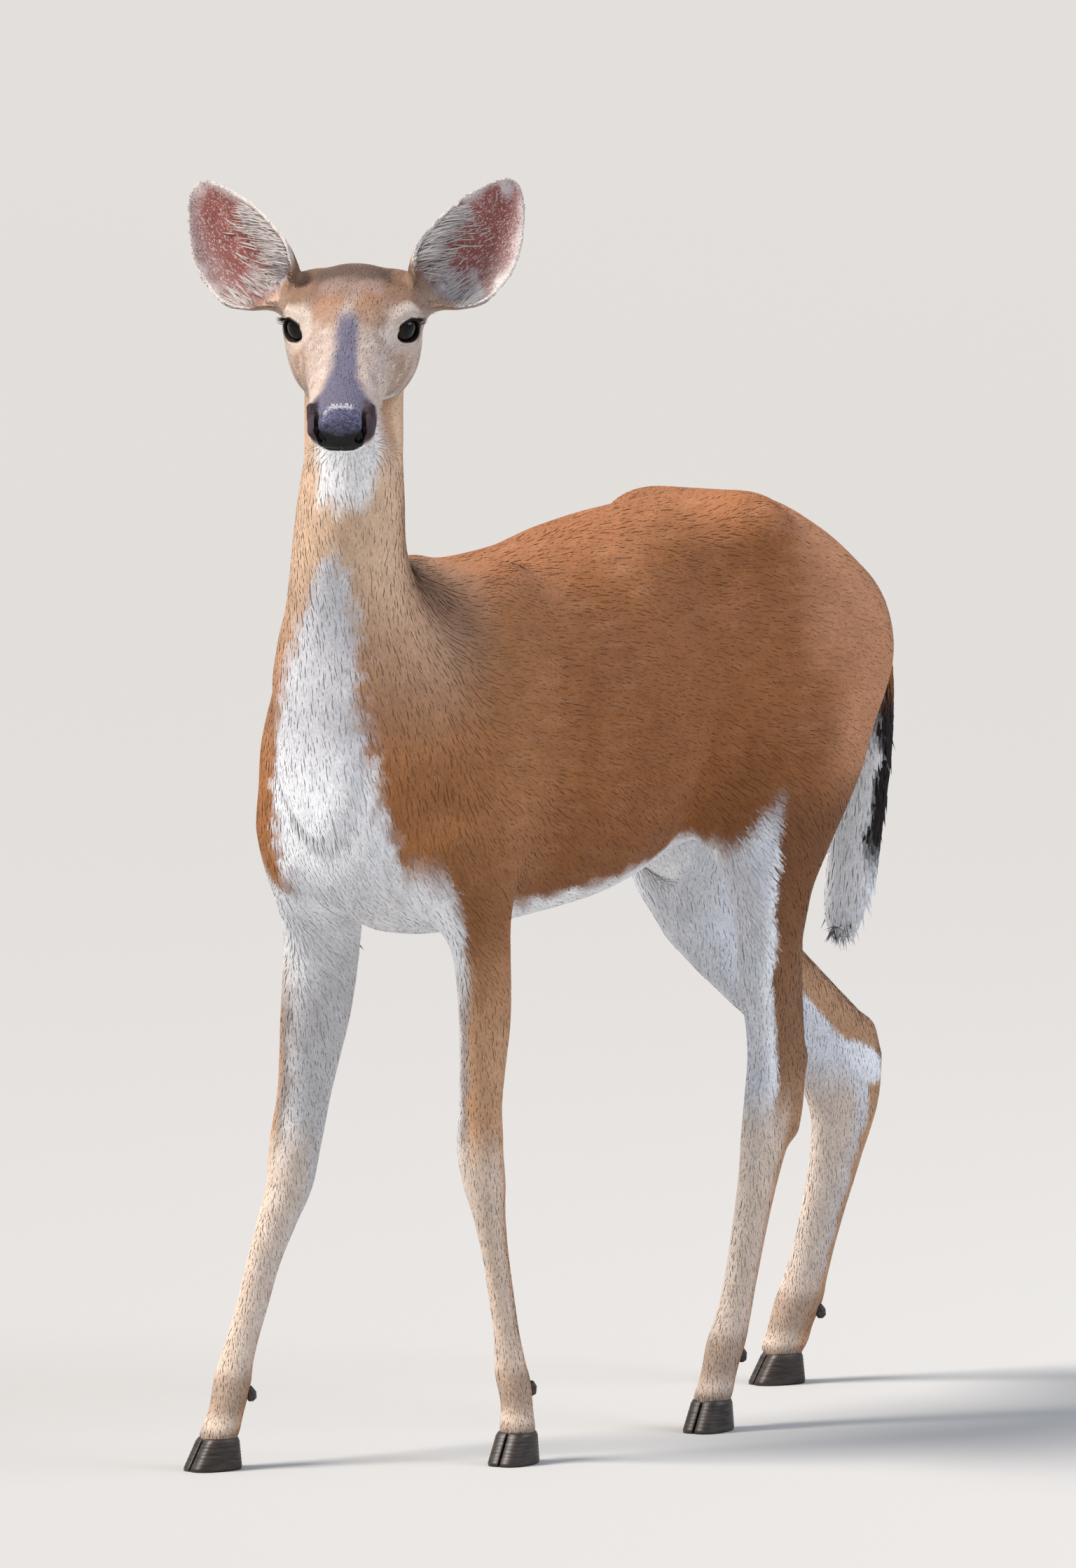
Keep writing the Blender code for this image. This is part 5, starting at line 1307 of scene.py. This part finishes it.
spindles = np.stack([root - normal * 0.0006, middle - half, middle + half, middle + thick, tip], 1)
tone = random.normal(1.0, 0.04, len(root)).clip(0.90, 1.12)
base = markings(above)
for _, side in SIDES:
    ear, along, _, inner = ear_field(above, side)
    pale = (ear < 0.004) & (along > 0.2) & (inner < 0.0015) & (random.uniform(size=len(root)) < 0.20)
    base[pale] += 0.55 * (linear(EAR_EDGE) - base[pale])
# Painted shade and highlight: each tuft is painted darker at its root, where other tufts cover it, and a
# little lighter at its tip.
painted_light_along = np.array((0.94, 0.99, 0.99, 1.0, 1.03))[None, :, None]
shades = base[:, None] * painted_light_along * tone[:, None, None]
spread = np.array((0, -0.07, 0.07, 0, 0))[None, :, None]
sheen_ways = normal[:, None] + on_tail(above)[:, None, None] * (0, 0, 0.9) + aside[:, None] * spread


def place_on_skin(p, group):
    """Where a root lies on the unwrapped skin: along and round the part of the body it grows on."""
    q = in_head(p)
    x, y, z = p.T
    if group.startswith("trunk"):
        return x + 0.5, np.arctan2(np.abs(y), z - 0.69) / np.pi
    if group.startswith("face"):
        return q[:, 0] * 2 + 0.4, np.arctan2(np.abs(q[:, 1]), q[:, 2] + 0.04) / np.pi
    if group.startswith("neck"):
        neck_x, neck_y, _, _, faces = NECK_AT(z)
        ahead, aside = turned(x - neck_x, y - neck_y, np.radians(faces))
        return z * 1.5 - 0.7, np.arctan2(aside, ahead) / 2 / np.pi + 0.5
    if group.startswith("ear"):
        side = 1 if group.endswith("left") else -1
        _, along, across, inner = ear_field(p, side)
        return along * 0.9 + 0.05, (across.clip(-1, 1) + 1) / 4 * 0.9 + 0.5 * (inner < 0.0017)
    if group.startswith("tail"):
        tail_x, tail_y, _, _ = TAIL_AT(z)
        return z * 2 - 0.8, np.arctan2(y - tail_y, x - tail_x) / 2 / np.pi + 0.5
    line_x, line_y = LINE_AT[group](z)
    return z * 1.5, np.arctan2(y - line_y, x - line_x) / 2 / np.pi + 0.5


def groups(p):
    """The piece of coat that each root belongs to, as an index into NAMES."""
    q = in_head(p)
    x, y, z = p.T
    group = np.where(y > 0, 0, 3) + np.where(x < -0.17, 0, np.where(x < 0.08, 1, 2))
    group = np.where((z > 0.78) & (x > 0.30), 6, group)
    group = np.where((x < -0.356) & (z < 0.765) & (z > 0.44) & (np.abs(y) < 0.045), 7, group)
    group = np.where((z < 0.53) & (x > 0.10), np.where(y > 0, 8, 9), group)
    group = np.where((z < 0.60) & (x <= 0.10) & ~((x < -0.356) & (z > 0.44) & (np.abs(y) < 0.045)),
                     np.where(y > 0, 10, 11), group)
    group = np.where((q[:, 0] > -0.10) & (z > 0.97), np.where(q[:, 1] > 0, 12, 13), group)
    for index, (_, side) in enumerate(SIDES):
        ear, along, _, _ = ear_field(p, side)
        group = np.where((ear < 0.004) & (along > 0.2), 14 + index, group)
    return group


NAMES = ("trunk_left_rear", "trunk_left_middle", "trunk_left_front", "trunk_right_rear",
         "trunk_right_middle", "trunk_right_front", "neck", "tail", "foreleg_left", "foreleg_right",
         "hindleg_left", "hindleg_right", "face_left", "face_right", "ear_left", "ear_right")
SLOTS = {"trunk": "red_coat", "tail": "white_hair", "ear": "ear_hair"}
hair_shader, hair_tree, hair = new_material("summer_deer_hair", Roughness=0.65, Specular_IOR_Level=0.18)
place = add_node(hair_tree, "ShaderNodeTexCoord").outputs["Object"]
streaks = add_node(hair_tree, "ShaderNodeTexNoise", {"Vector": place, "Scale": 1 / STREAK, "Detail": 2.0})
colour_by(hair_shader, hair_tree, streaks.outputs["Fac"], (0.35, (0.90, 0.89, 0.88)),
          (0.65, (1.05, 1.05, 1.05)))


def unit_rows(v):
    """The unit vector along each row."""
    return v / np.linalg.norm(v, axis=1)[:, None]


def add_hair(name, slot, shapes, one_faces, patch, shades, ways, u, v):
    """One piece of coat or long hair from the points of its shapes, a colour and a way to shine for each
    point, and the roots' places on the unwrapped skin. Each shape has the same faces and the same patch of
    the unwrap."""
    corners = shapes.shape[1]
    faces = (one_faces[None] + corners * np.arange(len(shapes))[:, None, None]).reshape(-1, 3)
    made = new_mesh(name, shapes.reshape(-1, 3) + CENTRE, faces, hair)
    give_colours(made, shades.reshape(-1, 3))
    made.data.normals_split_custom_set_from_vertices(unit_rows(ways.reshape(-1, 3)))
    layer = made.data.uv_layers.new(name="OFBake")
    places = (np.stack([u, v], 1)[:, None] * 0.98 + 0.008 + patch[None]).reshape(-1, 2)
    layer.data.foreach_set("uv", places[faces.ravel()].astype(np.float32).ravel())
    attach(made, "root")


which = groups(above)
for index, name in enumerate(NAMES):
    mine = which == index
    add_hair("coat_" + name, SLOTS.get(name.split("_")[0], "tan_coat"), spindles[mine], TUFT_FACES, PATCH,
             shades[mine], sheen_ways[mine], *place_on_skin(above[mine], name))


# Long hairs. Stiff pale whiskers on the chin and lips, dark lashes on the upper lids, and the soft white hair
# that fans out of each ear's base across its hollow side. Each is a closed hair, bent in two places.

HAIR_FACES = np.array([(0, 2, 1), (0, 3, 2), (0, 1, 3)]
                      + [(a, b, c) for k in range(3) for n in [(k + 1) % 3]
                         for a, b, c in ((1 + k, 1 + n, 4 + n), (1 + k, 4 + n, 4 + k))]
                      + [(7, 4, 5), (7, 5, 6), (7, 6, 4)])
HAIR_PATCH = np.array(((0, 0), (0.001, 0), (0.001, 0.0007), (0.001, -0.0007), (0.002, 0), (0.002, 0.0007),
                       (0.002, -0.0007), (0.003, 0)))
LASHES, WHISKERS, EAR_HAIRS = 34, 9, 520        # hairs on each side


def ear_inside(side, along, across):
    """Points of an ear's hollow surface, from their shares along and across it."""
    base, to_tip, facing, outward_way = ear_frame(side)
    radius, cup = ear_arc(along)
    reach = radius - EAR_THICK
    far = EAR_LONG * (along - EAR_BURIED)
    out = EAR_BOW * np.sin(np.pi * along) + reach * np.sin(cup * across)
    deep = radius - EAR_STEM - reach * np.cos(cup * across)
    return base + far[:, None] * to_tip + out[:, None] * outward_way + deep[:, None] * facing


def hairs(roots, ways, bends, lengths, widths):
    """Points of bent hairs: the root, triangles round the path at a third and at two thirds of it, and the
    tip. The path is the root plus t times the way plus t squared times the bend, times the length."""
    t = np.array((0.0, 0.34, 0.68, 1.0))[None, :, None]
    path = roots[:, None] + lengths[:, None, None] * (t * ways[:, None] + t * t * bends[:, None])
    side = np.cross(ways, bends + (0.013, 0.02, 0.011))
    side /= np.linalg.norm(side, axis=1)[:, None]
    over = np.cross(ways, side)
    turn = np.array((0, 2, 4)) * np.pi / 3
    ring = (np.cos(turn)[None, :, None] * side[:, None] + np.sin(turn)[None, :, None] * over[:, None])
    ring = ring * (widths / 2)[:, None, None]
    return np.concatenate([path[:, :1], path[:, 1:2] + ring, path[:, 2:3] + 0.7 * ring, path[:, 3:]], 1)


def add_long_hair(name, slot, points, shade, shine, u, v):
    """One piece of long hair, each hair in one colour and shaded as if it all faced one way."""
    add_hair(name, slot, points, HAIR_FACES, HAIR_PATCH, np.repeat(shade, 8, 0), np.repeat(shine, 8, 0), u, v)


face = axes(HEAD_YAW, HEAD_PITCH)
for side_name, side in SIDES:
    count = LASHES
    spread = np.linspace(-1, 1, count) + random.normal(0, 0.02, count)
    centre, ahead, up, looks = eye_frame(side)
    rim = 1.12
    along = -0.9 * spread * OPEN_LONG * rim
    high = OPEN_HIGH * rim * np.sqrt(np.clip(1 - np.abs(along / OPEN_LONG / rim) ** 1.9, 0, 1))
    high = high - np.where(along > 0, 0.22, 0.0) * along
    out = np.sqrt(np.clip((EYE_RADIUS + LID_AIR + LID_THICK) ** 2 - along ** 2 - high ** 2, 0, None)) - 0.0004
    roots = centre + along[:, None] * ahead + high[:, None] * up + out[:, None] * looks
    ways = unit_rows(looks + ahead * (along / OPEN_LONG * 0.9 - 0.25)[:, None] + up * 0.05)
    bends = np.tile(0.45 * up, (count, 1))
    lengths = 0.0085 * (0.7 + 0.3 * ramp(-along, -0.004, 0.008)) * random.uniform(0.85, 1.1, count)
    points = hairs(HEAD_AT + roots @ face.T, ways @ face.T, bends @ face.T, lengths, np.full(count, 0.0009))
    add_long_hair("lashes_" + side_name, "tan_coat", points, np.tile(linear("#120d0b"), (count, 1)),
                  np.tile(looks @ face.T, (count, 1)), 0.5 + 0.4 * spread, np.full(count, 0.5))

    count = WHISKERS
    roots = np.stack([random.uniform(0.085, 0.140, count), side * random.uniform(0.010, 0.026, count),
                      random.uniform(-0.058, -0.048, count)], 1)
    roots = onto(form, in_world(roots), 4)
    ways = unit_rows(slope(form, roots)) + (-0.2, -0.3 * side, -1.0) + 0.2 * random.normal(size=(count, 3))
    points = hairs(roots, unit_rows(ways), np.tile((0.0, 0.0, -0.45), (count, 1)),
                   random.uniform(0.014, 0.030, count), np.full(count, 0.0004))
    add_long_hair("whiskers_" + side_name, "white_hair", points, np.tile(linear("#d9d2c8"), (count, 1)), ways,
                  random.uniform(0.1, 0.9, count), random.uniform(0.1, 0.9, count))

    count = EAR_HAIRS
    along = random.uniform(0.20, 0.62, count)
    across = -1.0 + random.gamma(1.6, 0.16, count).clip(0, 1.1)
    low = random.uniform(size=count) < 0.30
    along = np.where(low, random.uniform(0.17, 0.30, count), along)
    across = np.where(low, random.uniform(-0.9, 0.9, count), across)
    roots = ear_inside(side, along, across)
    _, to_tip, facing, outward_way = ear_frame(side)
    ways = unit_rows(to_tip * 0.9 + outward_way * (0.55 - 0.5 * (across > 0))[:, None] + facing * 0.30
                     + 0.18 * random.normal(size=(count, 3)))
    bends = 0.30 * unit(to_tip * 0.4 + outward_way * 0.5 - facing * 0.6)
    lengths = random.uniform(0.012, 0.026, count) * (1.1 - 0.6 * along)
    shade = linear("#dcd3d0") * random.uniform(0.8, 1.0, count)[:, None]
    points = hairs(roots - facing * 0.0004, ways, bends * np.ones((count, 1)), lengths,
                   random.uniform(0.0009, 0.0014, count))
    add_long_hair("ear_hair_" + side_name, "ear_hair", points, shade, np.tile(facing, (count, 1)),
                  along, (across + 1) / 2.2)
